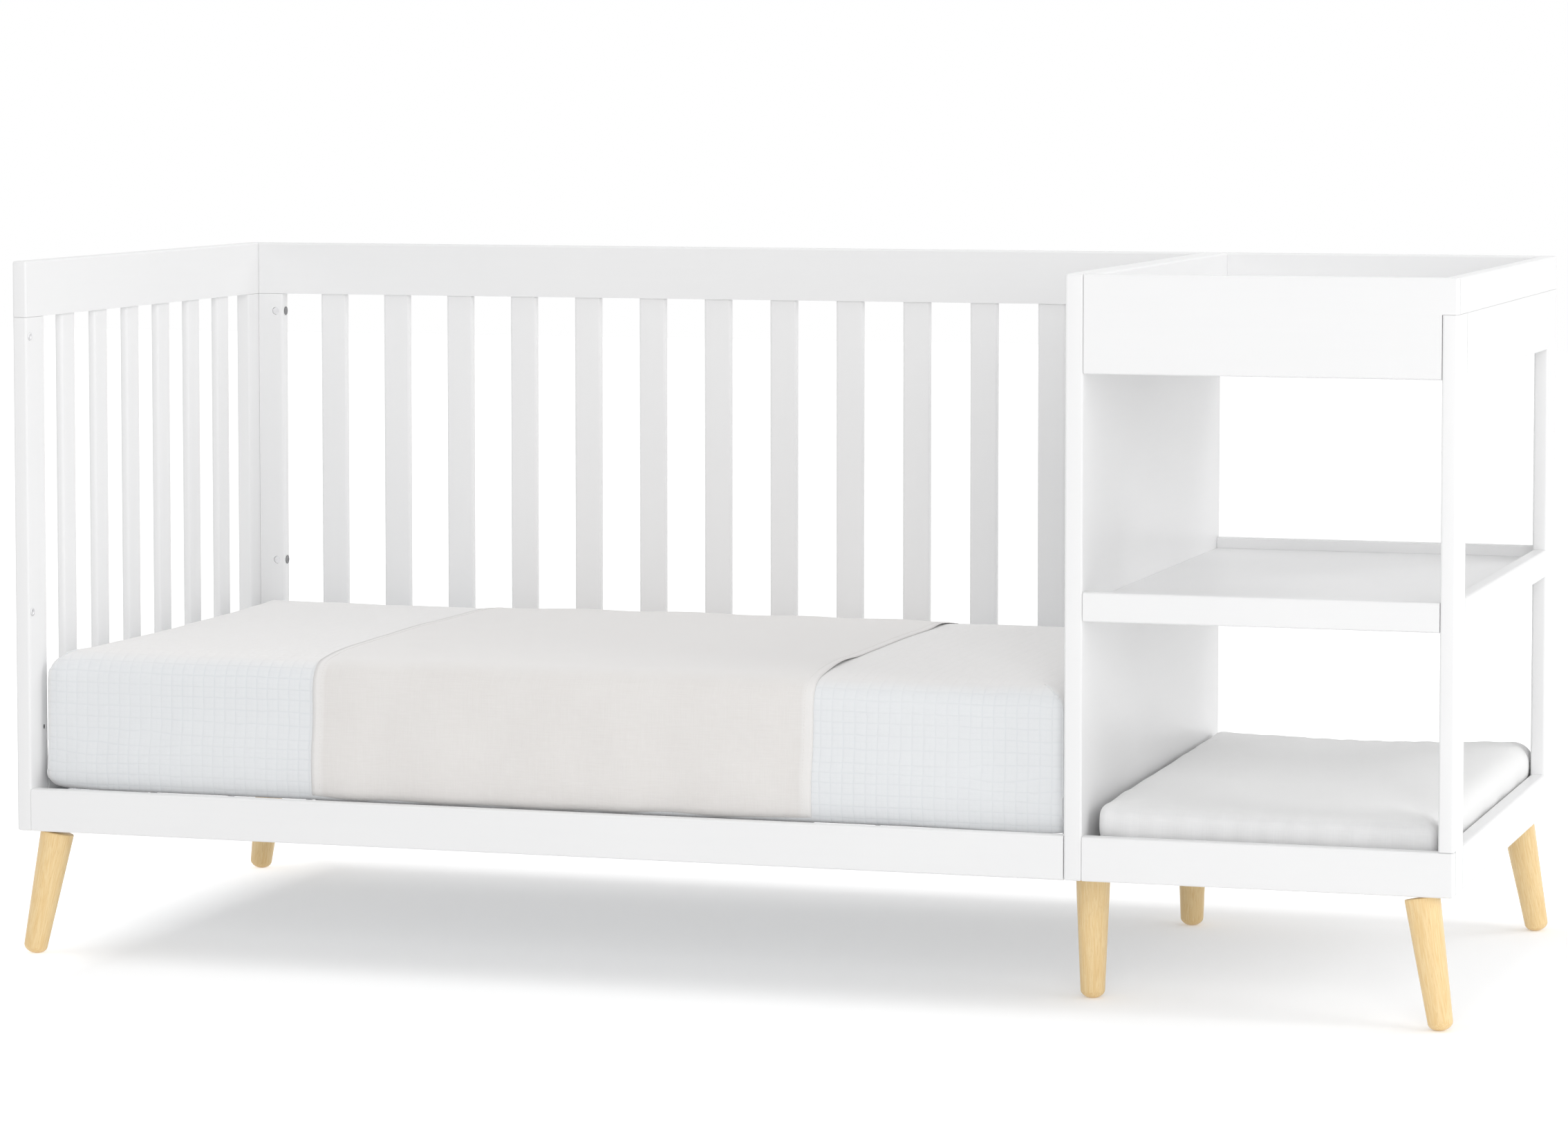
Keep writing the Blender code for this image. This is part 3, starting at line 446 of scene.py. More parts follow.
@dataclass
class Cushion:
    """A soft block: a box with round edges, which is reshaped, swelled as cloth, and mapped in metres."""

    finishes: "Finishes"

    def rounded_box(self) -> tuple[Rows, Rows]:
        """The box, of even quads.

        Each of the six sides is a grid of two parameters. A point of the sharp box is drawn to the nearest
        point of a core that is smaller by the radius, and pushed out from there by the radius.

        Returns:
            The points and the quads, with the sides not yet merged.
        """
        lo, hi, radius, step = self.lo, self.hi, self.radius, self.step
        arcs = max(2, round(radius * math.pi / 4 / step))
        lean = radius * np.tan(np.linspace(math.pi / 4, 0, arcs, endpoint=False))
        spans = []
        for low, high in zip(lo, hi):
            count = max(2, round((high - low - 2 * radius) / step) + 1)
            flat = np.linspace(low + radius, high - radius, count)
            spans.append(np.concatenate([low + radius - lean, flat, (high - radius + lean)[::-1]]))
        points, quads, used = [], [], 0
        for axis in range(3):
            first, second = (axis + 1) % 3, (axis + 2) % 3
            for end in (lo[axis], hi[axis]):
                a, b = np.meshgrid(spans[first], spans[second], indexing="ij")
                side = np.empty((*a.shape, 3))
                side[..., axis], side[..., first], side[..., second] = end, a, b
                points.append(side.reshape(-1, 3))
                quads.append(grid_quads(*a.shape) + used)
                used += a.size
        sharp = np.concatenate(points)
        core = np.clip(sharp, lo + radius, hi - radius)
        return core + radius * unit(sharp - core), np.concatenate(quads)

    def squarer(self, points: Rows, power: float | Rows, axes: list[int] = IN_PLAN) -> None:
        """Draws round corners out, in place, to nearly square ones.

        The way (c, s) of a point from the corner's centre is stretched by 1 / (|c|^power + |s|^power)^(1 / power).

        Args:
            points: The cushion's places.
            power: How square the corners get, for all points or each: 2 leaves them round.
            axes: The plane in which they are round.
        """
        core = np.clip(points[:, axes], self.lo[axes] + self.radius, self.hi[axes] - self.radius)
        by = points[:, axes] - core
        way = np.abs(by) / np.maximum(np.linalg.norm(by, axis=1, keepdims=True), 1e-9)
        stretch = np.maximum((way**power).sum(axis=1, keepdims=True), 0.1) ** (-1 / power)
        points[:, axes] = core + by * stretch

    def swell(self, obj: Object, frames: int = 20) -> None:
        """Fills the cover as cloth under pressure, then keeps each point within the cap of where it started.

        Args:
            obj: The piece, a closed mesh, which is moved in place. What it rests on holds its lowest part.
            frames: How long it swells.
        """
        start = places_of(obj.data)
        group = obj.vertex_groups.new(name="held")
        group.add(np.flatnonzero(start[:, 2] < self.lo[2] + self.held).tolist(), 1.0, "REPLACE")
        cloth = add_modifier(obj, "CLOTH")
        values = {
            "quality": 5, "mass": 0.3, "use_pressure": True, "uniform_pressure_force": self.pressure,
            "tension_stiffness": 25, "compression_stiffness": 25, "shear_stiffness": 10,
            "bending_stiffness": 2, "vertex_group_mass": group.name,
        }
        for key, value in values.items():
            setattr(cloth.settings, key, value)
        cloth.settings.effector_weights.gravity = 0
        cloth.collision_settings.use_collision = False
        cloth.collision_settings.use_self_collision = False
        cloth.point_cache.frame_start = 1
        cloth.point_cache.frame_end = frames
        for number in range(1, frames + 1):
            bpy.context.scene.frame_set(number)
        moved = places_of(obj.evaluated_get(bpy.context.evaluated_depsgraph_get()).data)
        obj.modifiers.remove(cloth)
        obj.vertex_groups.remove(group)
        bpy.context.scene.frame_set(1)
        by = moved - start
        far = np.linalg.norm(by, axis=1, keepdims=True)
        soft = self.cap * np.tanh(far / self.cap)
        put_places(obj.data, start + by / np.maximum(far, 1e-9) * soft)
        log.info("%s: swelled by %.1f mm at most, %.1f mm on average", obj.name, soft.max() * 1e3, soft.mean() * 1e3)

    def free(self, z: Rows) -> Rows:
        """How free the cover is at each height, from 0 at the base to 1."""
        return np.clip((z - self.lo[2]) / self.free_over, 0, 1)

    def unroll(self, mesh: Mesh) -> None:
        """Gives the cushion, or a piece sewn to it, a cloth map that runs on round its edges.

        Over the top it is (x, y). Past an edge it goes on by the length of the arc, the radius times the lean
        of the surface, and then by the height below the arc. Side faces take the edge that they face.

        Args:
            mesh: The mesh to map.
        """
        points, out = places_of(mesh), outward_of(mesh)
        flat = np.linalg.norm(out[:, :2], axis=1)
        lean = np.clip(np.arctan2(flat, np.maximum(out[:, 2], 0)), 0, math.pi / 2)
        depth = self.radius * lean + np.maximum(self.hi[2] - self.radius - points[:, 2], 0)
        half = (self.hi - self.lo) / 2 - self.radius
        away = points - (self.lo + self.hi) / 2
        reach = np.sign(away) * np.where(np.abs(away) > half, half + depth[:, None], np.abs(away))
        corner = corners_of(mesh)
        facing = np.abs(read_rows(mesh.polygons, "normal", 3))
        to_end = np.repeat(facing[:, 0] > facing[:, 1], read_rows(mesh.polygons, "loop_total", 1, np.int32)[:, 0])
        u = np.where(to_end, reach[corner, 0], away[corner, 0])
        v = np.where(to_end, away[corner, 1], reach[corner, 1])
        map_cloth(mesh, np.stack([u, v], axis=1))

    def finish(self, name: str, material: Material) -> Object:
        """Makes the cushion's piece: its shape swelled, made finer, creased and mapped.

        Args:
            name: The piece's name.
            material: Its cover.

        Returns:
            The piece.
        """
        obj = piece(name, self.shape(), material)
        self.swell(obj)
        add_modifier(obj, "SUBSURF", levels=1, render_levels=1)
        settle(obj)
        mesh = obj.data
        points, out = places_of(mesh), outward_of(mesh)
        put_places(mesh, points + out * self.creases(*points.T)[:, None])
        self.unroll(mesh)
        log.info("%s: %d faces", name, len(mesh.polygons))
        return obj


def share(places: Rows, low: float, high: float) -> Rows:
    """How far places are from the middle of a span, from -1 at its start to 1 at its end."""
    return np.clip((2 * places - low - high) / (high - low), -1, 1)


def bell(places: Rows, middle: float, width: float) -> Rows:
    """A soft hump, 1 at its middle."""
    return np.exp(-(((places - middle) / width) ** 2))


def ripple(u: Rows, v: Rows, length: float) -> Rows:
    """A slow uneven swell from -1 to 1: the mean of four sine waves whose lengths share no multiple.

    Args:
        u: Places along one way.
        v: Places along the other.
        length: The first wave's length.

    Returns:
        The swell at each place.
    """
    waves = ((1.0, 0.31, 1.0, 0.4), (0.37, -0.83, 1.31, 1.9), (0.71, 0.57, 1.73, 4.1), (-0.23, 1.0, 0.83, 2.7))
    k = FULL_TURN / length
    return sum(np.sin(k * (a * u + b * v) * pace + start) for a, b, pace, start in waves) / len(waves)


# ---------------------------------------------------------------- finishes


class NodeBench:
    """Adds and joins the nodes of one tree."""

    def __init__(self, tree: Tree) -> None:
        """Keeps the tree to work on."""
        self.tree = tree

    def feed(self, node: Node, inputs: dict[str | int, object]) -> None:
        """Joins sockets to a node's inputs, or sets the inputs to plain values. Colours get full alpha.

        Args:
            node: The node.
            inputs: A socket or a value for each input's name or number.
        """
        for key, value in inputs.items():
            target = node.inputs[key]
            if isinstance(value, Socket):
                self.tree.links.new(value, target)
            else:
                target.default_value = (*value, 1.0) if target.type == "RGBA" else value

    def add(self, kind: str, inputs: dict[str | int, object] | None = None, **values: object) -> Node:
        """Adds a node with its settings and feeds its inputs.

        Args:
            kind: The node's kind.
            inputs: A socket or a value for each input's name or number.
            **values: Its settings by name.

        Returns:
            The node.
        """
        node = self.tree.nodes.new(kind)
        for key, value in values.items():
            setattr(node, key, value)
        self.feed(node, inputs or {})
        return node

    def math(self, operation: str, *values: object) -> Socket:
        """The result of a Math node on sockets or numbers."""
        return self.add("ShaderNodeMath", dict(enumerate(values)), operation=operation).outputs[0]

    def vector(self, operation: str, *values: object) -> Socket:
        """The result of a Vector Math node on sockets or rows of numbers.

        Args:
            operation: What it does.
            *values: Its inputs.

        Returns:
            Its output.
        """
        keys = (0, "Scale") if operation == "SCALE" else (0, 1)
        node = self.add("ShaderNodeVectorMath", dict(zip(keys, values)), operation=operation)
        return node.outputs["Value" if operation == "LENGTH" else "Vector"]

    def noise(self, place: Socket, scale: float, detail: object, distortion: float = 0.0) -> Node:
        """A noise texture read at a place."""
        inputs = {"Vector": place, "Scale": scale, "Detail": detail, "Distortion": distortion}
        return self.add("ShaderNodeTexNoise", inputs)

    def place(self) -> Socket:
        """The place in the object's own frame."""
        return self.add("ShaderNodeTexCoord").outputs["Object"]

    def span(self, value: Socket, source: Pair, target: Pair = UNIT) -> Socket:
        """A value carried from one range to another and kept inside it."""
        return self.add("ShaderNodeMapRange", dict(enumerate((value, *source, *target))), clamp=True).outputs[0]

    def blend(self, amount: object, first: object, second: object) -> Socket:
        """A colour mixed from two by an amount. Numbers 6 and 7 are the node's colour inputs."""
        return self.add("ShaderNodeMix", {0: amount, 6: first, 7: second}, data_type="RGBA").outputs[2]

    def mean(self, first: Socket, weight: float, second: Socket, other: float) -> Socket:
        """The sum of two values, each times its weight."""
        return self.math("MULTIPLY_ADD", first, weight, self.math("MULTIPLY", second, other))

    def group(self, tree: Tree, **values: object) -> bpy.types.bpy_prop_collection:
        """Places a shared effect with its own values, and returns its outputs."""
        inputs = {key.capitalize(): value for key, value in values.items()}
        return self.add("ShaderNodeGroup", inputs, node_tree=tree).outputs

    def bump(self, height: Socket, strength: float, distance: float, normal: Socket | None = None) -> Socket:
        """A normal bumped by a height, on top of another normal if there is one.

        Args:
            height: The height.
            strength: How much of it counts.
            distance: How deep a height of one is.
            normal: The normal under it.

        Returns:
            The normal.
        """
        inputs = {"Strength": strength, "Distance": distance, "Height": height}
        under = {} if normal is None else {"Normal": normal}
        return self.add("ShaderNodeBump", inputs | under).outputs["Normal"]


class SharedEffects:
    """The effects that more than one finish uses, each a node group that is built once."""

    grain_distortion = 0.35
    thread_round = 0.6
    over_span = (-0.25, 0.25)
    gap_span = (0.0, 0.5)
    wander_noise = (28.0, 2.0)
    puff_noise = (60.0, 1.0)
    puff_round = 0.4
    puff_heights = (0.6, 1.0)
    line_sharpness = 5.0

    def __init__(self) -> None:
        """Builds each effect."""
        self.grain, self.weave, self.puff = self._grain(), self._weave(), self._puff()

    @staticmethod
    def _start(name: str, inputs: tuple[str, ...], outputs: tuple[str, ...]) -> tuple[NodeBench, object, Node]:
        """Starts a group with named inputs and outputs.

        Args:
            name: The group's name.
            inputs: The names of its inputs.
            outputs: The names of its outputs.

        Returns:
            A bench for the group, its inputs' sockets and its output node.
        """
        tree = bpy.data.node_groups.new(name, "ShaderNodeTree")
        for title in inputs:
            kind = "Vector" if title in ("Vector", "Stretch") else "Float"
            tree.interface.new_socket(title, in_out="INPUT", socket_type=f"NodeSocket{kind}")
        for title in outputs:
            tree.interface.new_socket(title, in_out="OUTPUT", socket_type="NodeSocketFloat")
        bench = NodeBench(tree)
        return bench, bench.add("NodeGroupInput").outputs, bench.add("NodeGroupOutput")

    def _grain(self) -> Tree:
        """Noise drawn out along one axis, as fibres, brush marks or thread runs.

        Returns:
            The group, whose one output is its value.
        """
        bench, source, end = self._start("drawn_out_grain", ("Vector", "Stretch", "Detail", "Contrast"), ("Value",))
        place = bench.vector("MULTIPLY", source["Vector"], source["Stretch"])
        noise = bench.noise(place, 1.0, source["Detail"], self.grain_distortion).outputs[0]
        off = bench.math("SUBTRACT", noise, 0.5)
        bench.feed(end, {"Value": bench.math("MULTIPLY_ADD", off, source["Contrast"], 0.5)})
        return bench.tree

    @staticmethod
    def _waves(bench: NodeBench, vector: Socket, pitch: Socket) -> tuple[Socket, ...]:
        """The two thread directions over a pitch, and how high each thread stands in its own cell.

        Args:
            bench: The group's bench.
            vector: The place on the cloth.
            pitch: The threads' pitch.

        Returns:
            The two waves, and the two heights.
        """
        scaled = bench.vector("SCALE", vector, bench.math("DIVIDE", math.pi, pitch))
        apart = bench.add("ShaderNodeSeparateXYZ", {0: scaled}).outputs
        u, v = bench.math("SINE", apart[0]), bench.math("SINE", apart[1])
        return u, v, bench.math("ABSOLUTE", u), bench.math("ABSOLUTE", v)

    def _weave(self) -> Tree:
        """A plain weave: each thread is round, and is over or under its neighbour in turn.

        Returns:
            The group, which puts out the height and the gaps between threads.
        """
        bench, source, end = self._start("plain_weave", ("Vector", "Pitch"), ("Height", "Gap"))
        u, v, high_u, high_v = self._waves(bench, source["Vector"], source["Pitch"])
        over = bench.span(bench.math("MULTIPLY", u, v), self.over_span)
        warp = bench.math("MULTIPLY", bench.math("POWER", high_u, self.thread_round), over)
        under = bench.math("SUBTRACT", 1.0, over)
        weft = bench.math("MULTIPLY", bench.math("POWER", high_v, self.thread_round), under)
        gap = bench.math("SUBTRACT", 1.0, bench.math("MAXIMUM", high_u, high_v))
        bench.feed(end, {"Height": bench.math("ADD", warp, weft), "Gap": bench.span(gap, self.gap_span)})
        return bench.tree

    def _puff(self) -> Tree:
        """Double muslin: two thin layers caught together on a grid, which puff up a little in each cell.

        Returns:
            The group, which puts out the height and the caught lines.
        """
        bench, source, end = self._start("puffed_grid", ("Vector", "Pitch", "Wander"), ("Height", "Line"))
        noise = bench.noise(source["Vector"], *self.wander_noise).outputs[1]
        moved = bench.vector("SCALE", bench.vector("SUBTRACT", noise, (0.5, 0.5, 0.5)), source["Wander"])
        place = bench.vector("ADD", source["Vector"], moved)
        _, _, high_u, high_v = self._waves(bench, place, source["Pitch"])
        dome = bench.math("POWER", bench.math("MULTIPLY", high_u, high_v), self.puff_round)
        uneven = bench.noise(source["Vector"], *self.puff_noise).outputs[0]
        puff = bench.math("MULTIPLY", dome, bench.span(uneven, (0.3, 0.7), self.puff_heights))
        line = bench.math("SUBTRACT", 1.0, bench.math("MINIMUM", high_u, high_v))
        bench.feed(end, {"Height": puff, "Line": bench.math("POWER", line, self.line_sharpness)})
        return bench.tree


@dataclass(frozen=True)
class Grain:
    """One use of the drawn-out noise: how closely it repeats along each axis, its detail and its contrast."""

    stretch: Triple
    detail: float
    contrast: float

    def laid(self, bench: NodeBench, effects: SharedEffects, place: Socket) -> Socket:
        """The grain's value at a place."""
        return bench.group(effects.grain, vector=place, **vars(self))[0]


@dataclass(frozen=True, kw_only=True)
class Finish:
    """A surface, which is built as one material."""

    name: str
    wear: Pair = (0.2, 0.8)

    def inputs(self, bench: NodeBench, effects: SharedEffects) -> dict[str, object]:
        """Makes what goes into the shader, which each finish does in its own way.

        Args:
            bench: The material's bench.
            effects: The shared effects.

        Returns:
            A socket or a value for each input's name.
        """
        raise NotImplementedError

    def build(self, effects: SharedEffects) -> Material:
        """Makes the material.

        Args:
            effects: The shared effects.

        Returns:
            The material.
        """
        material = bpy.data.materials.new(self.name)
        material.use_nodes = True
        bench = NodeBench(material.node_tree)
        bench.feed(material.node_tree.nodes["Principled BSDF"], self.inputs(bench, effects))
        return material


@dataclass(frozen=True, kw_only=True)
class SatinPaint(Finish):
    """White satin paint sprayed over close-grained wood, whose fibres still show a little."""

    run: Run
    base: Triple = (0.885, 0.885, 0.887)
    shade: Triple = (0.868, 0.869, 0.872)
    roughness: Pair = (0.34, 0.44)
    specular: float = 0.42
    cloud: Grain = Grain((3.1, 2.7, 3.3), 3.0, 1.5)
    fibre: Pair = (3.0, 1.4)
    peel: Grain = Grain((640.0, 640.0, 640.0), 1.0, 1.3)
    shares: Pair = (0.25, 0.75)
    tones: Pair = (0.25, 0.75)
    relief: float = 0.05
    depths: Pair = (0.0003, 0.0002)

    def inputs(self, bench: NodeBench, effects: SharedEffects) -> dict[str, object]:
        """Fibres along the board under the paint's slow clouds and fine peel.

        Args:
            bench: The material's bench.
            effects: The shared effects.

        Returns:
            A socket or a value for each input's name.
        """
        place = bench.place()
        slow = self.cloud.laid(bench, effects, place)
        fibres = Grain(self.run.value, *self.fibre).laid(bench, effects, place)
        peel = self.peel.laid(bench, effects, place)
        tone = bench.mean(fibres, self.shares[0], slow, self.shares[1])
        under = bench.bump(fibres, self.relief, self.depths[0])
        return {
            "Base Color": bench.blend(bench.span(tone, self.tones), self.base, self.shade),
            "Roughness": bench.span(slow, self.wear, self.roughness),
            "Normal": bench.bump(peel, self.relief, self.depths[1], under),
            "Specular IOR Level": self.specular,
        }


@dataclass(frozen=True, kw_only=True)
class LacqueredWood(Finish):
    """Light natural hardwood under a satin lacquer. Its rings follow each leg's own turned place."""

    name: str = "lacquered_leg_wood"
    pale: Triple = (0.910, 0.690, 0.370)
    warm: Triple = (0.850, 0.600, 0.280)
    dark: Triple = (0.700, 0.440, 0.180)
    roughness: Pair = (0.36, 0.50)
    ring: Grain = Grain((95.0, 95.0, 5.5), 3.0, 2.2)
    ring_pace: float = 26.0
    fibre: Grain = Grain((700.0, 700.0, 22.0), 3.0, 1.8)
    pore: Grain = Grain((1500.0, 1500.0, 60.0), 1.0, 1.8)
    pore_span: Pair = (0.68, 0.85)
    pore_shades: Pair = (0.0, 0.45)
    shares: Pair = (0.22, 0.95)
    tones: Pair = (0.15, 0.85)
    relief: Pair = (0.12, 0.0003)
    coat: Pair = (0.18, 0.28)

    def inputs(self, bench: NodeBench, effects: SharedEffects) -> dict[str, object]:
        """Rings drawn out along the leg, fibres, and dark pores under a thin coat.

        Args:
            bench: The material's bench.
            effects: The shared effects.

        Returns:
            A socket or a value for each input's name.
        """
        place = bench.add("ShaderNodeAttribute", attribute_name=TURNED_PLACE).outputs["Vector"]
        rings, fibres, pores = (each.laid(bench, effects, place) for each in (self.ring, self.fibre, self.pore))
        bands = bench.math("SINE", bench.math("MULTIPLY", rings, self.ring_pace))
        tone = bench.mean(bands, self.shares[0], fibres, self.shares[1])
        wood = bench.blend(bench.span(tone, self.tones), self.pale, self.warm)
        return {
            "Base Color": bench.blend(bench.span(pores, self.pore_span, self.pore_shades), wood, self.dark),
            "Roughness": bench.span(fibres, self.wear, self.roughness),
            "Normal": bench.bump(fibres, *self.relief),
            "Coat Weight": self.coat[0],
            "Coat Roughness": self.coat[1],
        }


@dataclass(frozen=True, kw_only=True)
class ZincSteel(Finish):
    """Zinc-plated steel, a little cloudy, as bolts and drawn wire are."""

    name: str = "zinc_plated_steel"
    base: Triple = (0.64, 0.65, 0.67)
    shade: Triple = (0.50, 0.51, 0.53)
    roughness: Pair = (0.28, 0.46)
    cloud: Grain = Grain((180.0, 180.0, 180.0), 3.0, 1.8)
    drawn: Grain = Grain((40.0, 1400.0, 1400.0), 1.0, 1.5)
    relief: Pair = (0.08, 0.0002)

    def inputs(self, bench: NodeBench, effects: SharedEffects) -> dict[str, object]:
        """Clouds in the plating over the fine lines of drawing.

        Args:
            bench: The material's bench.
            effects: The shared effects.

        Returns:
            A socket or a value for each input's name.
        """
        place = bench.place()
        cloud = self.cloud.laid(bench, effects, place)
        return {
            "Base Color": bench.blend(cloud, self.base, self.shade),
            "Roughness": bench.span(cloud, self.wear, self.roughness),
            "Normal": bench.bump(self.drawn.laid(bench, effects, place), *self.relief),
            "Metallic": 1.0,
        }


@dataclass(frozen=True, kw_only=True)
class Cloth(Finish):
    """A cloth that follows the piece's cloth map, with a painted sheen: paler where it is seen from low down."""

    base: Triple
    shade: Triple
    # The paler colour of a painted sheen, where the cloth is seen from low down.
    bloom: Triple
    roughness: float
    sheen: Pair = (0.3, 0.5)
    specular: float = 0.2
    # The facing over which the painted sheen comes in, and how much of it shows.
    low_seen: Pair = (0.20, 0.75)
    nap: Pair = (0.0, 0.92)
    clouds: Pair = (0.3, 0.7)

    @staticmethod
    def place(bench: NodeBench) -> Socket:
        """The place on the cloth in metres."""
        return bench.add("ShaderNodeUVMap", uv_map=CLOTH_MAP).outputs["UV"]

    def napped(self, bench: NodeBench, woven: Socket, normal: Socket) -> dict[str, object]:
        """The shader's inputs for a woven colour and normal, with the painted sheen blended into the colour.

        Args:
            bench: The material's bench.
            woven: The cloth's colour.
            normal: Its normal.

        Returns:
            A socket or a value for each input's name.
        """
        # Painted sheen: the colour goes paler as the surface turns edge-on to the view.
        facing = bench.add("ShaderNodeLayerWeight", {"Blend": 0.5}).outputs["Facing"]
        return {
            "Base Color": bench.blend(bench.span(facing, self.low_seen, self.nap), woven, self.bloom),
            "Roughness": self.roughness,
            "Sheen Weight": self.sheen[0],
            "Sheen Roughness": self.sheen[1],
            "Specular IOR Level": self.specular,
            "Normal": normal,
        }


@dataclass(frozen=True, kw_only=True)
class Muslin(Cloth):
    """Pale blue-white double muslin, caught on a grid of small squares."""

    name: str = "double_muslin"
    base: Triple = (0.812, 0.828, 0.842)
    shade: Triple = (0.742, 0.768, 0.794)
    # Painted sheen: the paler colour where the sheet is seen from low down.
    bloom: Triple = (0.915, 0.902, 0.893)
    roughness: float = 0.92
    sheen: Pair = (0.25, 0.5)
    pitch: float = 0.0143
    wander: float = 0.0035
    thread: float = 0.00075
    cloud: Grain = Grain((9.0, 7.0, 1.0), 3.0, 1.4)
    cloud_shades: Pair = (0.35, 1.0)
    half_line: float = 0.22
    full_line: float = 0.5
    half_height: float = 0.3
    gap_shade: float = 0.18
    puff_relief: Pair = (0.4, 0.0012)
    thread_relief: Pair = (0.25, 0.0002)

    def inputs(self, bench: NodeBench, effects: SharedEffects) -> dict[str, object]:
        """Squares and half squares that puff up, over the fine weave of each layer.

        Args:
            bench: The material's bench.
            effects: The shared effects.

        Returns:
            A socket or a value for each input's name.
        """
        place = self.place(bench)
        cells, halves = (
            bench.group(effects.puff, vector=place, pitch=pitch, wander=self.wander)
            for pitch in (self.pitch, self.pitch / 2)
        )
        weave = bench.group(effects.weave, vector=place, pitch=self.thread)
        slow = bench.span(self.cloud.laid(bench, effects, place), self.clouds, self.cloud_shades)
        lines = bench.mean(halves["Line"], self.half_line, cells["Line"], self.full_line)
        caught = bench.blend(bench.math("MULTIPLY", lines, slow), self.base, self.shade)
        woven = bench.blend(bench.math("MULTIPLY", weave["Gap"], self.gap_shade), caught, self.shade)
        both = bench.math("MULTIPLY_ADD", halves["Height"], self.half_height, cells["Height"])
        puffed = bench.bump(both, *self.puff_relief)
        return self.napped(bench, woven, bench.bump(weave["Height"], *self.thread_relief, puffed))


@dataclass(frozen=True, kw_only=True)
class WovenCloth(Cloth):
    """A close plain weave with slightly uneven threads, for the throw and the pad's cover."""

    pitch: float
    relief: float
    roughness: float = 0.90
    slub: Pair = (900.0, 28.0)
    slub_noise: Pair = (2.0, 1.7)
    cloud: Grain = Grain((11.0, 9.0, 1.0), 4.0, 1.5)
    shares: Pair = (0.6, 0.4)
    shades: Pair = (0.0, 0.8)
    gap_shade: float = 0.30
    hem: Triple = (0.885, 0.875, 0.865)
    hem_shade: float = 0.6
    thread_strength: float = 0.5
    slub_strength: float = 0.3

    def inputs(self, bench: NodeBench, effects: SharedEffects) -> dict[str, object]:
        """The weave with its slubs, slow clouds, and the paler band where the hem is doubled.

        Args:
            bench: The material's bench.
            effects: The shared effects.

        Returns:
            A socket or a value for each input's name.
        """
        place = self.place(bench)
        weave = bench.group(effects.weave, vector=place, pitch=self.pitch)
        close, loose = self.slub
        warp, weft = (
            Grain((*pair, 1.0), *self.slub_noise).laid(bench, effects, place)
            for pair in ((close, loose), (loose, close))
        )
        slubs = bench.math("MULTIPLY", bench.math("ADD", warp, weft), 0.5)
        tone = bench.mean(slubs, self.shares[0], self.cloud.laid(bench, effects, place), self.shares[1])
        mixed = bench.blend(bench.span(tone, self.clouds, self.shades), self.base, self.shade)
        woven = bench.blend(bench.math("MULTIPLY", weave["Gap"], self.gap_shade), mixed, self.shade)
        doubled = bench.add("ShaderNodeAttribute", attribute_name=HEM_BAND).outputs["Fac"]
        hemmed = bench.blend(bench.math("MULTIPLY", doubled, self.hem_shade), woven, self.hem)
        threads = bench.bump(weave["Height"], self.thread_strength, self.relief)
        return self.napped(bench, hemmed, bench.bump(slubs, self.slub_strength, self.relief, threads))


@dataclass
class Finishes:
    """Every material of the object, built once."""

    effects: SharedEffects = field(default_factory=SharedEffects)

    def __post_init__(self) -> None:
        """Builds the materials from the shared effects."""
        made = {
            **{run: SatinPaint(name=f"satin_white_{run.name.lower()}", run=run) for run in Run},
            "wood": LacqueredWood(),
            "steel": ZincSteel(),
            "bright": ZincSteel(
                name="bright_zinc_steel", base=(0.86, 0.86, 0.87), shade=(0.76, 0.76, 0.77), roughness=(0.34, 0.46)
            ),
            # Dark steel for the hole plugs: its dark stands both for the metal and for painted shade in the holes.
            "dark": ZincSteel(
                name="hole_shade_dark_zinc", base=(0.27, 0.27, 0.275), shade=(0.19, 0.19, 0.195), roughness=(0.38, 0.52)
            ),
            "muslin": Muslin(),
            # The third colour of the throw and of the pad is a painted sheen, shown where each is seen from low
            # down.
            "throw": WovenCloth(
                name="warm_grey_throw", base=(0.822, 0.802, 0.785), shade=(0.770, 0.744, 0.724),
                bloom=(0.885, 0.868, 0.856), pitch=0.0016, relief=0.00035,
            ),
            "pad": WovenCloth(
                name="pale_grey_pad_cover", base=(0.862, 0.862, 0.864), shade=(0.800, 0.801, 0.804),
                bloom=(0.965, 0.965, 0.960), pitch=0.0013, relief=0.0003,
            ),
        }
        self.made = {key: finish.build(self.effects) for key, finish in made.items()}

    def __getitem__(self, key: str | Run) -> Material:
        """The material of a name, or the paint for a board's run."""
        return self.made[key]


# ---------------------------------------------------------------- furniture


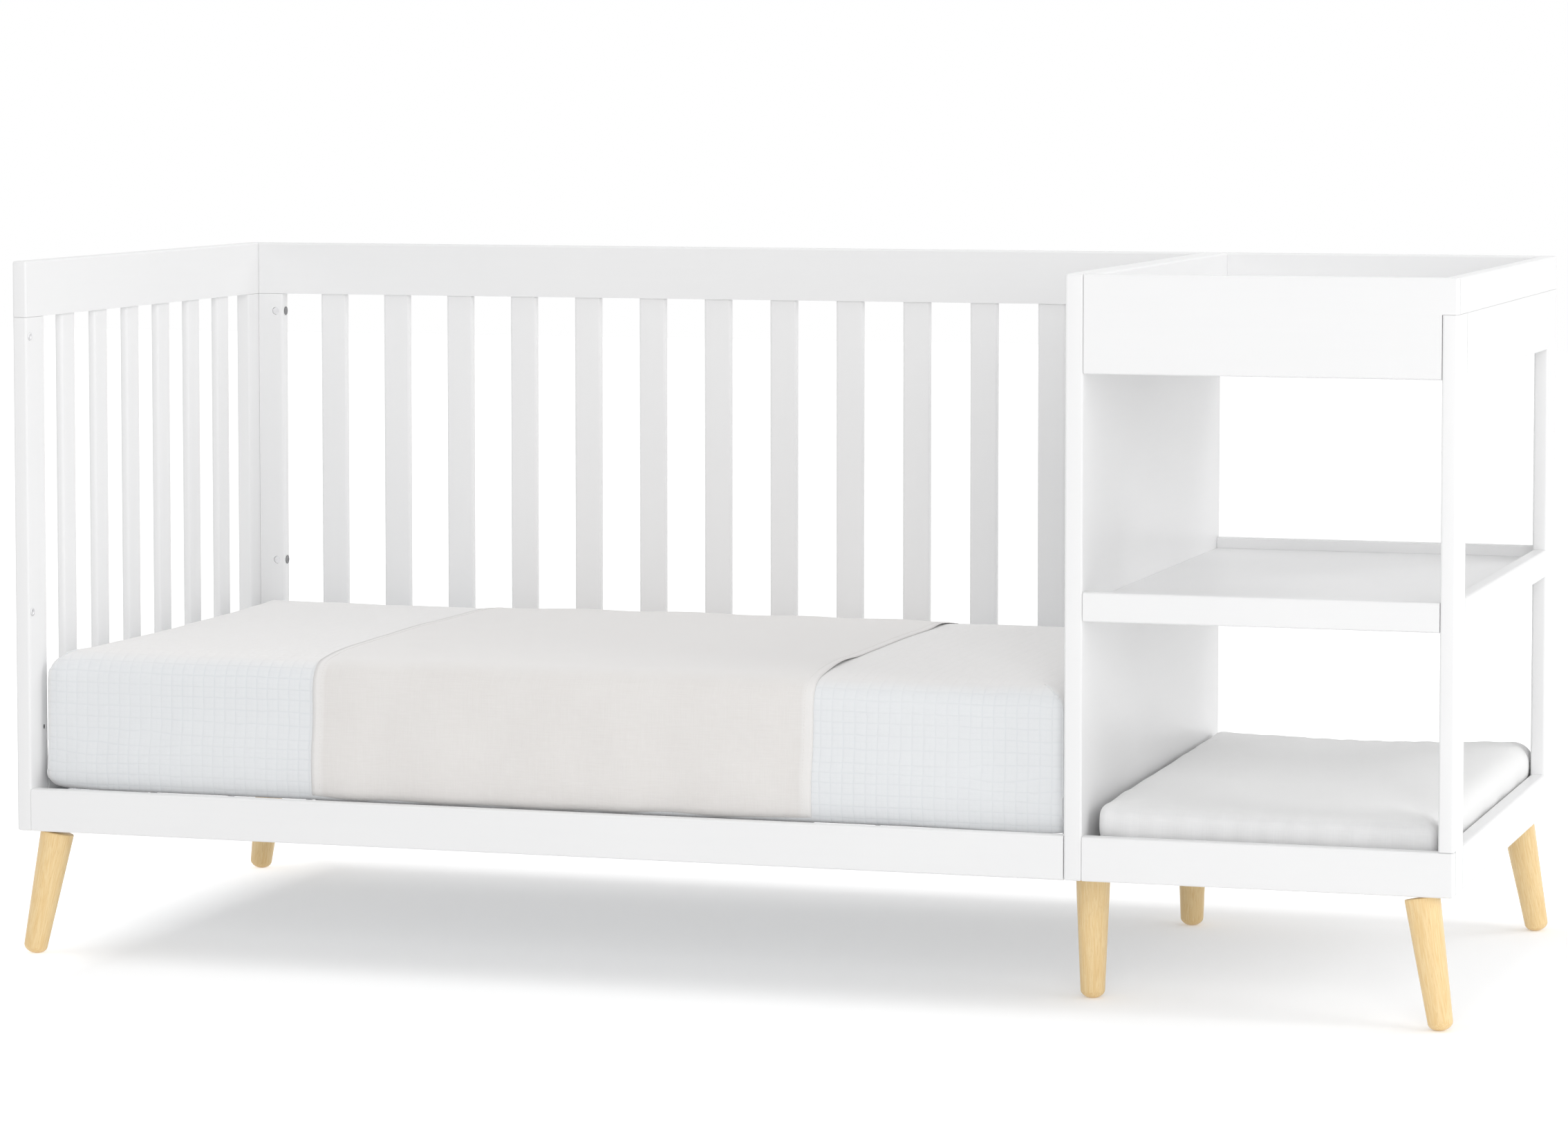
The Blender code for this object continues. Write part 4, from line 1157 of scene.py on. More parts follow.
@dataclass
class PaintedBoards:
    """The boards, rails, posts, slats and fittings that stay as the model has them, dressed."""

    finishes: Finishes
    smooth_angle: float = math.radians(50)

    def smoothing(self) -> Tree:
        """A geometry group that smooths the shading across every edge flatter than the angle.

        Returns:
            The group.
        """
        tree = bpy.data.node_groups.new("smooth_rounded_edges", "GeometryNodeTree")
        for way in ("INPUT", "OUTPUT"):
            tree.interface.new_socket("Geometry", in_out=way, socket_type="NodeSocketGeometry")
        bench = NodeBench(tree)
        start = bench.add("NodeGroupInput").outputs[0]
        both = {"A": bench.add("GeometryNodeInputMeshEdgeAngle").outputs["Unsigned Angle"], "B": self.smooth_angle}
        sharp = bench.add("FunctionNodeCompare", both, data_type="FLOAT", operation="GREATER_THAN")
        faces = bench.add("GeometryNodeSetShadeSmooth", {"Geometry": start}, domain="FACE").outputs[0]
        inputs = {"Geometry": faces, "Selection": sharp.outputs["Result"], "Shade Smooth": False}
        edges = bench.add("GeometryNodeSetShadeSmooth", inputs, domain="EDGE").outputs[0]
        bench.add("NodeGroupOutput", {"Geometry": edges})
        return tree

    def build(self) -> None:
        """Paints every board along its longest side, plates every fitting and smooths their round edges."""
        tree = self.smoothing()
        for row in frame["record"]["subparts"]:
            node, slot = row["node"], row["material_slot"]
            if slot == Slot.PAINT.value:
                lo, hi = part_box(node)
                material = self.finishes[list(Run)[int(np.argmax(np.array(hi - lo)))]]
            elif slot == Slot.STEEL.value:
                material = self.finishes["bright" if node.startswith("panel_bolt") else "steel"]
            else:
                continue
            obj = frame["nodes"][node]
            obj.data.materials.clear()
            obj.data.materials.append(material)
            add_modifier(obj, "WELD", merge_threshold=1e-5)
            add_modifier(obj, "NODES", node_group=tree)
            add_modifier(obj, "WEIGHTED_NORMAL", weight=100, keep_sharp=True)
            log.info("%s: %s", node, material.name)


@dataclass
class HolePlugs:
    """Small turned steel plugs in the open bolt holes: dark ones, partly painted shade, and bright ones for the
    left-off side.
    """

    finishes: Finishes
    sides: int = 24
    stem_radius: float = 0.0028
    stem_length: float = 0.0030
    lift: float = 0.0002
    height: float = 0.0009
    edge: float = 0.0002
    rim: float = 0.0003
    dish: tuple[Pair, ...] = ((0.5, 0.0), (0.45, 0.0004), (0.0, 0.0005))
    flange: float = 0.0060
    cap: float = 0.0052
    front_in: float = 0.0095
    support_in: float = 0.041
    support_rise: float = 0.100
    sunk: float = 0.0006
    spare_more: float = 0.0002

    def turned(self, name: str, place: Triple, way: float, radius: float, top: float) -> Mesh:
        """Turns a plug about X: a stem in the hole, and a head with a small dished middle.

        Args:
            name: The mesh's name.
            place: The middle of the hole's mouth.
            way: The way out of the board along X, 1 or -1.
            radius: The head's radius.
            top: How far the head's top stands out of the board, below zero for a plug inside its hole.

        Returns:
            The closed mesh.
        """
        under = top - self.height + self.lift
        stem, foot = self.stem_radius, under - self.stem_length
        outer = [
            (0.0, foot), (stem, foot), (stem, under), (radius - self.edge, under), (radius, under + self.edge),
            (radius, top - self.rim), (radius - self.rim, top),
        ]
        rows = np.array(outer + [(part * radius, top - deep) for part, deep in self.dish])
        turn = around(self.sides)
        ring = np.stack([np.zeros(self.sides), np.cos(turn), np.sin(turn)], axis=1)
        points = rows[:, :1, None] * ring[None] + rows[:, 1:, None] * np.array([way, 0.0, 0.0]) + np.array(place)
        return close_up(mesh_of(name, points.reshape(-1, 3), grid_quads(len(rows), self.sides, closed=True)))

    def build(self) -> None:
        """Plugs each stile's edge, caps the holes of the side that is left off, and fills the spare holes."""
        lo, hi = CAD_BOX
        walls = {"left": (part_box("end_front_post")[1].x, 1.0), "right": (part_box("divider_panel")[0].x, -1.0)}
        edges = {"left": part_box("back_left_stile")[1].x, "right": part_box("back_right_stile")[0].x}
        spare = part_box("mattress_support")[0].z + self.support_rise
        spare_radius = self.stem_radius + self.spare_more
        made = []
        for side, (wall, way) in walls.items():
            for level in ("lower", "upper"):
                bolt_lo, bolt_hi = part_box(f"panel_bolt_{side}_{level}")
                y, z = (bolt_lo.y + bolt_hi.y) / 2, (bolt_lo.z + bolt_hi.z) / 2
                stile, front = (edges[side], y, z), (wall, lo.y + self.front_in, z)
                # The stile plugs are dark: the bolts' own dark metal and painted shade of their recessed holes.
                made.append((f"stile_plug_{side}_{level}", stile, way, self.flange, self.height, "dark"))
                made.append((f"side_hole_cap_{side}_{level}", front, way, self.cap, self.height, "bright"))
            for end, y in (("front", lo.y + self.support_in), ("rear", hi.y - self.support_in)):
                # The spare holes get dark plugs sunk inside them: painted shade in the empty holes.
                made.append((f"support_plug_{end}_{side}", (wall, y, spare), way, spare_radius, -self.sunk, "dark"))
        for name, *shape, finish in made:
            dress(piece(name, self.turned(name, *shape), self.finishes[finish]), Body.FURNITURE)
        log.info("%d plugs and caps", len(made))


@dataclass
class TurnedLeg:
    """One tapered leg, turned round and set on its splay, with its steel stud on top."""

    node: str
    foot: Pair
    splay: Pair
    finishes: Finishes
    height: float = 0.156
    seam: float = 0.0003
    top_radius: float = 0.0210
    tip_radius: float = 0.0148
    tip_height: float = 0.010
    rim_radius: float = 0.0016
    stud_radius: float = 0.004
    stud_height: float = 0.018
    thread_depth: float = 0.00035
    thread_rows: int = 37
    tip_rows: int = 12
    rim_rows: int = 6
    taper_rows: int = 26
    rim_touch: float = 0.001
    foot_flat: float = 0.0005
    steps: int = 56
    wood_apart: float = 3.7

    def profile(self, length: float) -> Rows:
        """The half section from the foot's middle up: a quarter oval, a straight taper, a round rim, a stud.

        Args:
            length: The wood's length along the leg.

        Returns:
            Rows of (radius, height).
        """
        rim_start = length - self.rim_radius
        turn = np.linspace(0, math.pi / 2, self.tip_rows)
        tip = np.stack([self.tip_radius * np.sin(turn), self.tip_height * (1 - np.cos(turn))], axis=1)
        up = np.linspace(self.tip_height, rim_start, self.taper_rows)[1:]
        share_up = (up - self.tip_height) / (rim_start - self.tip_height)
        taper = np.stack([self.tip_radius + (self.top_radius - self.tip_radius) * share_up, up], axis=1)
        turn = np.linspace(0, math.pi / 2, self.rim_rows)[1:]
        rim = np.array([self.top_radius, length]) - self.rim_radius * (1 - np.stack([np.cos(turn), np.sin(turn)], 1))
        thread = np.linspace(length, length + self.stud_height, self.thread_rows)
        ridge = self.stud_radius - self.thread_depth * (np.arange(self.thread_rows) % 2)
        stud = np.stack([ridge, thread], axis=1)
        return np.concatenate([tip, taper, rim, stud, [[0.0, length + self.stud_height]]])

    def build(self) -> None:
        """Turns the profile about the leg's axis, leans it, and stands it in place of the model's leg."""
        tilt = Vector((*self.splay, self.height)).normalized().angle(Vector((0, 0, 1)))
        heading = math.atan2(self.splay[1], self.splay[0])
        tip = self.profile(self.height)[: self.tip_rows]
        lift = -float((tip[:, 1] * math.cos(tilt) - tip[:, 0] * math.sin(tilt)).min()) - self.foot_flat
        rim = self.top_radius - self.rim_touch
        length = (self.height - self.seam - lift - rim * math.sin(tilt)) / math.cos(tilt)
        rows = self.profile(length)
        turn = around(self.steps)
        tall = np.broadcast_to(rows[:, 1:], (len(rows), self.steps))
        local = np.stack([rows[:, :1] * np.cos(turn), rows[:, :1] * np.sin(turn), tall], axis=-1).reshape(-1, 3)
        c, s, h = math.cos(tilt), math.sin(tilt), heading
        about_z = np.array([(math.cos(h), -math.sin(h), 0), (math.sin(h), math.cos(h), 0), (0, 0, 1)])
        about_y = np.array([(c, 0, s), (0, 1, 0), (-s, 0, c)])
        placed = local @ (about_z @ about_y @ about_z.T).T + np.array([*self.foot, lift])
        placed[:, 2] = np.maximum(placed[:, 2], 0.0)
        mesh = mesh_of(self.node, placed, grid_quads(len(rows), self.steps, closed=True))
        own = mesh.attributes.new(TURNED_PLACE, "FLOAT_VECTOR", "POINT")
        write_rows(own.data, "vector", local + np.array([*self.foot, 0.0]) * self.wood_apart)
        first_stud = len(rows) - self.thread_rows - 1
        kinds = np.arange(len(mesh.polygons)) // self.steps >= first_stud
        write_rows(mesh.polygons, "material_index", kinds, np.int32)
        leg = piece(f"turned_{self.node}", close_up(mesh), self.finishes["wood"])
        mesh.materials.append(self.finishes["steel"])
        dress(leg, Body.FURNITURE, self.node)
        log.info("%s: %d faces, %.1f mm long", leg.name, len(mesh.polygons), rows[-1, 1] * 1e3)


@dataclass
class LegSet:
    """The six legs: four splayed ones at the corners and two upright ones under the divider."""

    finishes: Finishes
    foot_in: Pair = (0.0145, 0.0156)
    splay: Pair = (0.0269, 0.0152)
    middle_in: float = 0.105

    def build(self) -> None:
        """Stands the legs under the body's corners and the divider."""
        lo, hi = CAD_BOX
        for name, side in (("left", 1), ("right", -1)):
            x = (lo.x if side > 0 else hi.x) + side * self.foot_in[0]
            for end, way in (("front", 1), ("rear", -1)):
                y = (lo.y if way > 0 else hi.y) + way * self.foot_in[1]
                splay = (side * self.splay[0], way * self.splay[1])
                TurnedLeg(f"leg_{end}_{name}", (x, y), splay, self.finishes).build()
        wall_lo, wall_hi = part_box("divider_panel")
        middle = (wall_lo.x + wall_hi.x) / 2
        for end, y in (("front", lo.y + self.middle_in), ("rear", hi.y - self.middle_in)):
            TurnedLeg(f"leg_{end}_middle", (middle, y), (0.0, 0.0), self.finishes).build()


# ---------------------------------------------------------------- bedding


@dataclass
class Mattress(Cushion):
    """The crib mattress in its fitted sheet: a firm block with round edges and a slightly crowned top."""

    radius: float = 0.029
    step: float = 0.0125
    crown: float = 0.006
    draw: float = 0.003
    side_draw: float = 0.6
    pressure: float = 1.5
    cap: float = 0.0035
    held: float = 0.02
    fill: float = 0.95
    slack: float = 0.0005
    end_ease: float = 0.0035
    fold: float = 0.0009
    fan_share: float = 1.1
    fan_paces: Pair = (17.0, 1.3)
    fan_start: float = 0.02
    fan_reach: float = 0.075
    fan_drop: Pair = (0.09, 1.25)
    slow: tuple[Pair, ...] = ((0.21, 0.5), (0.093, 0.22))
    free_over: float = 0.03
    corner_power: float = 7.0
    base_reach: float = 0.12
    base_places: tuple[float, ...] = (0.0, 0.03, 0.08, -0.20, -0.05)
    base_radii: tuple[float, ...] = (0.026, 0.011, 0.006, 0.006, 0.002)
    seam_size: Pair = (0.0016, 0.0009)
    seam_steps: int = 60
    seam_turn: float = 0.16
    seam_insets: Pair = (0.3, 0.9)
    seam_ends: Pair = (0.002, 0.012)
    seam_lean: tuple[float, int] = (1.2, 6)

    def tighter_base(self, points: Rows, small: Rows) -> None:
        """Draws the rounding round the base out to a smaller one, in place.

        A point's height over the base, and its depth inside the outline, go from 0 to the radius. Both are
        scaled to go from 0 to the small radius, and what lies beyond the radius is spread out up to the reach.

        Args:
            points: The mattress's places.
            small: The rounding that its base is to have at each point.
        """
        lo, hi, radius, reach = self.lo, self.hi, self.radius, self.base_reach
        away = points[:, :2] - ((lo + hi) / 2)[:2]
        over = np.abs(away) - ((hi - lo) / 2 - radius)[:2]
        outer = np.maximum(over, 0)
        beyond = np.linalg.norm(outer, axis=1)
        depth = radius - beyond - np.minimum(over.max(axis=1), 0)
        nearest = np.eye(2)[over.argmax(axis=1)]
        way = np.where(beyond[:, None] > 1e-9, unit(outer), nearest) * np.sign(away)
        height = points[:, 2] - lo[2]

        def spread(value: Rows) -> Rows:
            beyond_radius = small + (value - radius) * (reach - small) / (reach - radius)
            return np.where(value < radius, value * small / radius, beyond_radius)

        base = (height < radius - 1e-6) & (depth < reach)
        points[base, :2] += (way * (depth - spread(depth))[:, None])[base]
        near = height < reach
        points[near, 2] = lo[2] + spread(height)[near]

    def shape(self) -> Mesh:
        """The block before it swells.

        The top rises by the crown times (1 - u^2)(1 - v^2), with u and v the shares along and across, and the
        sides are drawn in by the draw times (1 - share^2) along each side.

        Returns:
            The mesh.
        """
        lo, hi = (np.array(corner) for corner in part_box("mattress"))
        lo[:2] += np.array([-self.end_ease, self.slack])
        hi[:2] -= np.array([-self.end_ease, self.slack])
        hi[2] -= self.crown + self.slack / 2
        self.lo, self.hi = lo, hi
        points, quads = self.rounded_box()
        ends = np.array([lo[0], lo[0], lo[0], hi[0], hi[0]]) + self.base_places
        self.tighter_base(points, np.interp(points[:, 0], ends, self.base_radii))
        self.squarer(points, self.corner_power)
        u, v = share(points[:, 0], lo[0], hi[0]), share(points[:, 1], lo[1], hi[1])
        upper = np.clip((points[:, 2] - lo[2]) / (hi[2] - lo[2]), 0, 1)
        points[:, 2] += self.crown * (1 - u**2) * (1 - v**2) * upper**2
        points[:, 0] -= self.draw * (1 - v**2) * u
        points[:, 1] -= self.draw * (1 - u**2) * v * self.side_draw
        return close_up(mesh_of("fitted_mattress", points, quads))

    def creases(self, x: Rows, y: Rows, z: Rows) -> Rows:
        """The sheet's slack: slow ripples over the top, and pulls that fan out from the four corners.

        Args:
            x: The points' places along the length.
            y: Their places across.
            z: Their heights.

        Returns:
            How far each point stands off.
        """
        from_end = np.minimum(x - self.lo[0], self.hi[0] - x)
        from_side = np.minimum(y - self.lo[1], self.hi[1] - y)
        near = np.exp(-np.hypot(from_end, from_side) / self.fan_reach)
        angle = np.arctan2(np.abs(from_side) + self.fan_start, np.abs(from_end) + self.fan_start)
        depth = (self.hi[2] - z) / self.fan_drop[0]
        fan = np.sin(angle * self.fan_paces[0] + depth * self.fan_paces[1]) * near
        fan *= np.clip(self.fan_drop[1] - depth, 0, 1)
        (broad, broad_share), (fine, fine_share) = self.slow
        slow = ripple(x + 0.3 * z, y + 0.5 * z, broad) * broad_share + ripple(x - z, y, fine) * fine_share
        return (fan * self.fan_share + slow) * self.fold * self.free(z)

    def corner_seams(self, mattress: Object) -> None:
        """Sews the fitted sheet's four corners: a small ridge down each.

        Args:
            mattress: The piece that carries them.
        """
        lo, hi = self.lo, self.hi
        drop = np.linspace(0, 1, self.seam_steps)
        side, more = self.seam_insets
        inset = self.radius * (side + more * np.clip(self.seam_turn - drop, 0, 1) / self.seam_turn)
        z = hi[2] + self.seam_ends[0] - drop * (hi[2] - lo[2] - self.seam_ends[1])
        up = self.seam_lean[0] * (1 - drop) ** self.seam_lean[1]
        for number, (sx, sy) in enumerate(((-1, -1), (1, -1), (1, 1), (-1, 1)), 1):
            x = (hi[0] if sx > 0 else lo[0]) - sx * inset
            y = (hi[1] if sy > 0 else lo[1]) - sy * inset
            path = laid_on(np.stack([x, y, z], axis=1), mattress, SEWN_GAP)
            outward = (np.full(len(drop), float(sx)), np.full(len(drop), float(sy)), up)
            name = f"sheet_corner_seam_{number}"
            ridge = swept(name, path, unit(np.stack(outward, axis=1)), self.seam_size, closed=False)
            self.unroll(ridge)
            dress(piece(name, ridge, self.finishes["muslin"]), Body.MATTRESS)

    def build(self) -> Object:
        """Makes the mattress and its seams.

        Returns:
            The mattress.
        """
        mattress = self.finish("fitted_mattress", self.finishes["muslin"])
        dress(mattress, Body.MATTRESS, "mattress")
        self.corner_seams(mattress)
        return mattress


@dataclass
class Throw:
    """The folded throw laid across the mattress, hanging down its front and back and tucked under."""

    finishes: Finishes
    mattress: Mattress
    under: Object
    thickness: float = 0.0008
    lift: float = 0.00015
    step: float = 0.0055
    tuck: float = 0.30
    tuck_steps: int = 10
    edge_steps: int = 14
    sway: Pair = (0.0012, 0.31)
    hem: float = 0.014
    hem_edge: float = 0.002
    hem_rise: float = 0.0002
    seam_in: float = 0.003
    stitch: Stitch = Stitch()
    loose_in: float = 0.06
    held_share: float = 0.04
    broad_crease: Triple = (0.0012, 0.35, 0.17)
    fine_crease: Triple = (0.0007, 0.6, 0.083)
    drop_height: float = 0.0011
    drop_pitch: float = 0.128
    drop_wander: Pair = (1.1, 0.4)
    drop_at: Pair = (0.06, 0.07)
    curl_height: float = 0.0034
    curl_in: float = 0.05
    curls: tuple[Triple, ...] = ((1.0, 0.285, 0.055), (0.8, 0.735, 0.035))

    def section(self) -> Rows:
        """The line across the mattress from the front hem over the top to the back hem, at even steps.

        It is a tuck under the edge, a straight rise, a quarter circle, the flat top, and the same again.

        Returns:
            Rows of (y, z).
        """
        radius, lo, hi = self.mattress.radius, self.mattress.lo, self.mattress.hi
        tuck = np.linspace(self.tuck * math.pi, 0, self.tuck_steps, endpoint=False)
        low = np.stack([lo[1] + radius - radius * np.cos(tuck), lo[2] + radius - radius * np.sin(tuck)], axis=1)
        rise = np.array([[lo[1], lo[2] + radius], [lo[1], hi[2] - radius]])
        turn = np.linspace(0, math.pi / 2, self.edge_steps)[1:]
        over = np.stack([lo[1] + radius - radius * np.cos(turn), hi[2] - radius + radius * np.sin(turn)], axis=1)
        half = np.concatenate([low, rise, over])
        other = half[::-1].copy()
        other[:, 0] = lo[1] + hi[1] - other[:, 0]
        line = np.concatenate([half, other])
        run = run_along(line)
        keep = np.concatenate([[True], np.diff(run) > 1e-9])
        return read_at(np.linspace(0, run[-1], round(run[-1] / self.step) + 1), run[keep], line[keep])

    def folds(self, u: Rows, s: Rows, length: float) -> Rows:
        """How far the cloth stands off: soft creases, slack drops at the front, hems and a curling edge.

        Args:
            u: Places across the throw from its left edge.
            s: Places along it from its front hem.
            length: Its whole length.

        Returns:
            The height of the cloth over the mattress, never below zero.
        """
        hang = np.minimum(s, length - s)
        edge = np.minimum(u, self.width - u)
        loose = self.held_share + (1 - self.held_share) * np.clip(edge / self.loose_in, 0, 1)
        height, drawn, pitch = self.broad_crease
        broad = height * (1 + ripple(u, s * drawn, pitch))
        height, drawn, pitch = self.fine_crease
        fine = height * (1 + ripple(u * drawn, s, pitch))
        wander = self.drop_wander[0] * ripple(u, s, self.drop_wander[1])
        sway = 1 + np.sin(FULL_TURN * u / self.drop_pitch + wander)
        drop = self.drop_height * sway * bell(hang, *self.drop_at) * loose
        hem, ends = (self.hem_rise * np.clip((self.hem - by) / self.hem_edge, 0, 1) for by in (edge, hang))
        rises = sum(weight * bell(s, middle, width) for weight, middle, width in self.curls)
        curl = self.curl_height * np.clip(1 - (self.width - u) / self.curl_in, 0, 1) ** 2 * rises
        return loose * (broad + fine) + drop + np.maximum(hem, ends) + curl

    def build(self) -> None:
        """Lays the throw on the mattress, thickens it and sews its hems."""
        lo, hi = (np.array(corner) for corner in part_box("throw_blanket"))
        self.width = hi[0] - lo[0]
        line = self.section()
        rows, columns = len(line), round(self.width / self.step) + 1
        run = run_along(line)
        u, s = np.meshgrid(np.linspace(0, self.width, columns), run, indexing="xy")
        x = lo[0] + u + self.sway[0] * ripple(s, u, self.sway[1])
        flat = np.stack([x, np.broadcast_to(line[:, :1], x.shape), np.broadcast_to(line[:, 1:], x.shape)], axis=-1)
        laid = laid_on(flat.reshape(-1, 3), self.under, self.lift)
        mesh = mesh_of("laid_throw", laid, grid_quads(rows, columns))
        out = outward_of(mesh)
        if out[len(out) // 2, 2] < 0:
            mesh.flip_normals()
            out = -out
        u, s = u.ravel(), s.ravel()
        skin = laid + out * self.folds(u, s, run[-1])[:, None]
        put_places(mesh, skin)
        map_cloth(mesh, np.stack([u, s], 1)[corners_of(mesh)])
        band = mesh.attributes.new(HEM_BAND, "FLOAT", "POINT")
        write_rows(band.data, "value", np.minimum(u, self.width - u) < self.hem)
        throw = piece("laid_throw", mesh, self.finishes["throw"])
        add_modifier(throw, "SOLIDIFY", thickness=self.thickness, offset=1.0, use_even_offset=False)
        settle(throw)
        dress(throw, Body.MATTRESS, "throw_blanket")
        sewn = self.hems(skin.reshape(rows, columns, 3), out.reshape(rows, columns, 3))

    def hems(self, skin: Rows, out: Rows) -> list[Object]:
        """Sews a row of stitches along each side hem.

        Args:
            skin: The cloth's places, row by row.
            out: The way out of it at each place.

        Returns:
            The two rows of stitches.
        """
        column = round((self.hem - self.seam_in) / self.step)
        made = []
        for side, at in (("left", column), ("right", skin.shape[1] - 1 - column)):
            path = skin[2:-2, at] + out[2:-2, at] * self.thickness
            mesh = self.stitch.sew(f"throw_{side}_hem_stitches", path, out[2:-2, at])
            row = piece(mesh.name, mesh, self.finishes["throw"])
            map_cloth(mesh, places_of(mesh)[corners_of(mesh)][:, :2])
            dress(row, Body.MATTRESS)
            made.append(row)
        return made


@dataclass
class ChangingPad(Cushion):
    """The contoured changing pad kept on the bottom shelf, with raised long edges and a piped cover."""

    radius: float = 0.020
    step: float = 0.0085
    ease: Pair = (0.003, -0.001)
    top_ease: float = 0.0025
    dip: float = 0.011
    dip_half: float = 0.86
    worn: float = 0.006
    worn_from: float = 0.7
    worn_shares: Pair = (0.625, 0.375)
    corner_power: float = 5.0
    wall_gaps: Pair = (-0.007, 0.0055)
    side_places: tuple[float, ...] = (-1.0, -0.75, -0.45, 1.0)
    side_shifts: tuple[float, ...] = (0.0, 0.0, 0.005, 0.005)
    pressure: float = 2.5
    cap: float = 0.003
    held: float = 0.006
    fill: float = 0.8
    pucker: Pair = (0.0007, 0.034)
    pucker_wander: Pair = (2.0, 0.2)
    pucker_reach: float = 0.045
    slow_height: float = 0.0010
    slow: tuple[Pair, ...] = ((0.13, 0.8), (0.055, 0.3))
    free_over: float = 0.012
    corner_steps: int = 16
    piping_lean: tuple[int, float] = (9, 0.15)
    piping: float = 0.0013
    piping_height: float = 0.008
    piping_step: float = 0.004

    def shape(self) -> Mesh:
        """The foam before its cover swells: the top sinks between the long edges by the dip times a raised cosine.

        It lies a little askew, nearer to the divider at the back than at the front, and its front edge is worn
        down most at the right. Its upright corners, and its upper edge at the divider, are nearly square.

        Returns:
            The mesh.
        """
        lo, hi = (np.array(corner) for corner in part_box("changing_pad"))
        lo[:2] -= self.ease
        hi[:2] += self.ease
        hi[2] -= self.top_ease
        self.lo, self.hi = lo, hi
        points, quads = self.rounded_box()
        u, v = share(points[:, 0], lo[0], hi[0]), share(points[:, 1], lo[1], hi[1])
        upper = np.clip((points[:, 2] - lo[2]) / (hi[2] - lo[2]), 0, 1)
        valley = 0.5 * (1 + np.cos(math.pi * np.clip(np.abs(u) / self.dip_half, 0, 1)))
        points[:, 2] -= self.dip * valley * upper * (1 - v**6)
        near_front = np.clip((-v - self.worn_from) / (1 - self.worn_from), 0, 1)
        points[:, 2] -= self.worn * upper * near_front * (self.worn_shares[0] + self.worn_shares[1] * u)
        by_wall = (u < 0) & (points[:, 2] > (lo[2] + hi[2]) / 2)
        self.squarer(points, np.where(by_wall, self.corner_power, 2.0)[:, None], IN_SECTION)
        self.squarer(points, self.corner_power)
        to_wall = np.interp(v, (-1.0, 1.0), self.wall_gaps)
        to_side = np.interp(v, self.side_places, self.side_shifts)
        points[:, 0] += 0.5 * (1 + u) * to_side - 0.5 * (1 - u) * to_wall
        return close_up(mesh_of("contoured_pad", points, quads))

    def creases(self, x: Rows, y: Rows, z: Rows) -> Rows:
        """The cover's soft creases: slow ripples, and short ones that run in from the ends.

        Args:
            x: The points' places along the length.
            y: Their places across.
            z: Their heights.

        Returns:
            How far each point stands off.
        """
        end = np.minimum(y - self.lo[1], self.hi[1] - y)
        height, pitch = self.pucker
        wander = self.pucker_wander[0] * ripple(x, y, self.pucker_wander[1])
        puckers = np.sin(FULL_TURN * x / pitch + wander) * np.exp(-end / self.pucker_reach)
        slow = sum(ripple(x, y, length) * weight for length, weight in self.slow)
        return (puckers * height + slow * self.slow_height) * self.free(z)

    def loop(self, height: float) -> Rows:
        """A closed line round the pad at a height, at even steps: a rectangle with quarter circles at its corners.

        Args:
            height: The line's height.

        Returns:
            The line's points.
        """
        lo, hi, radius = self.lo[:2], self.hi[:2], self.radius
        turn = np.linspace(0, math.pi / 2, self.corner_steps)
        line = []
        for x, y, start in ((hi[0], hi[1], 0.0), (lo[0], hi[1], 0.5), (lo[0], lo[1], 1.0), (hi[0], lo[1], 1.5)):
            corner = np.array([x, y])
            centre = corner - np.sign(corner - (lo + hi) / 2) * radius
            angle = turn + start * math.pi
            line.append(centre + radius * np.stack([np.cos(angle), np.sin(angle)], axis=1))
        line = np.concatenate([*line, line[0][:1]])
        run = run_along(line)
        count = round(run[-1] / self.piping_step)
        flat = read_at(np.linspace(0, run[-1], count, endpoint=False), run, line)
        return np.concatenate([flat, np.full((count, 1), height)], axis=1)

    def pipe(self, pad: Object) -> None:
        """Sews a piped seam round the pad's side.

        Args:
            pad: The pad.
        """
        height = self.lo[2] + self.piping_height
        path = laid_on(self.loop(height), pad, SEWN_GAP)
        middle = np.array([*(self.lo[:2] + self.hi[:2]) / 2, height])
        away = (path - middle) / np.array([*(self.hi - self.lo)[:2] / 2, 1.0])
        out = np.sign(away) * np.abs(away) ** self.piping_lean[0]
        out[:, 2] = self.piping_lean[1]
        mesh = swept("pad_piping", path, unit(out), (self.piping, self.piping), closed=True)
        self.unroll(mesh)
        dress(piece(mesh.name, mesh, self.finishes["pad"]), Body.PAD)
        log.info("%s: %d faces", mesh.name, len(mesh.polygons))

    def build(self) -> None:
        """Makes the pad and its piping."""
        pad = self.finish("contoured_pad", self.finishes["pad"])
        dress(pad, Body.PAD, "changing_pad")
        self.pipe(pad)


# ---------------------------------------------------------------- stage


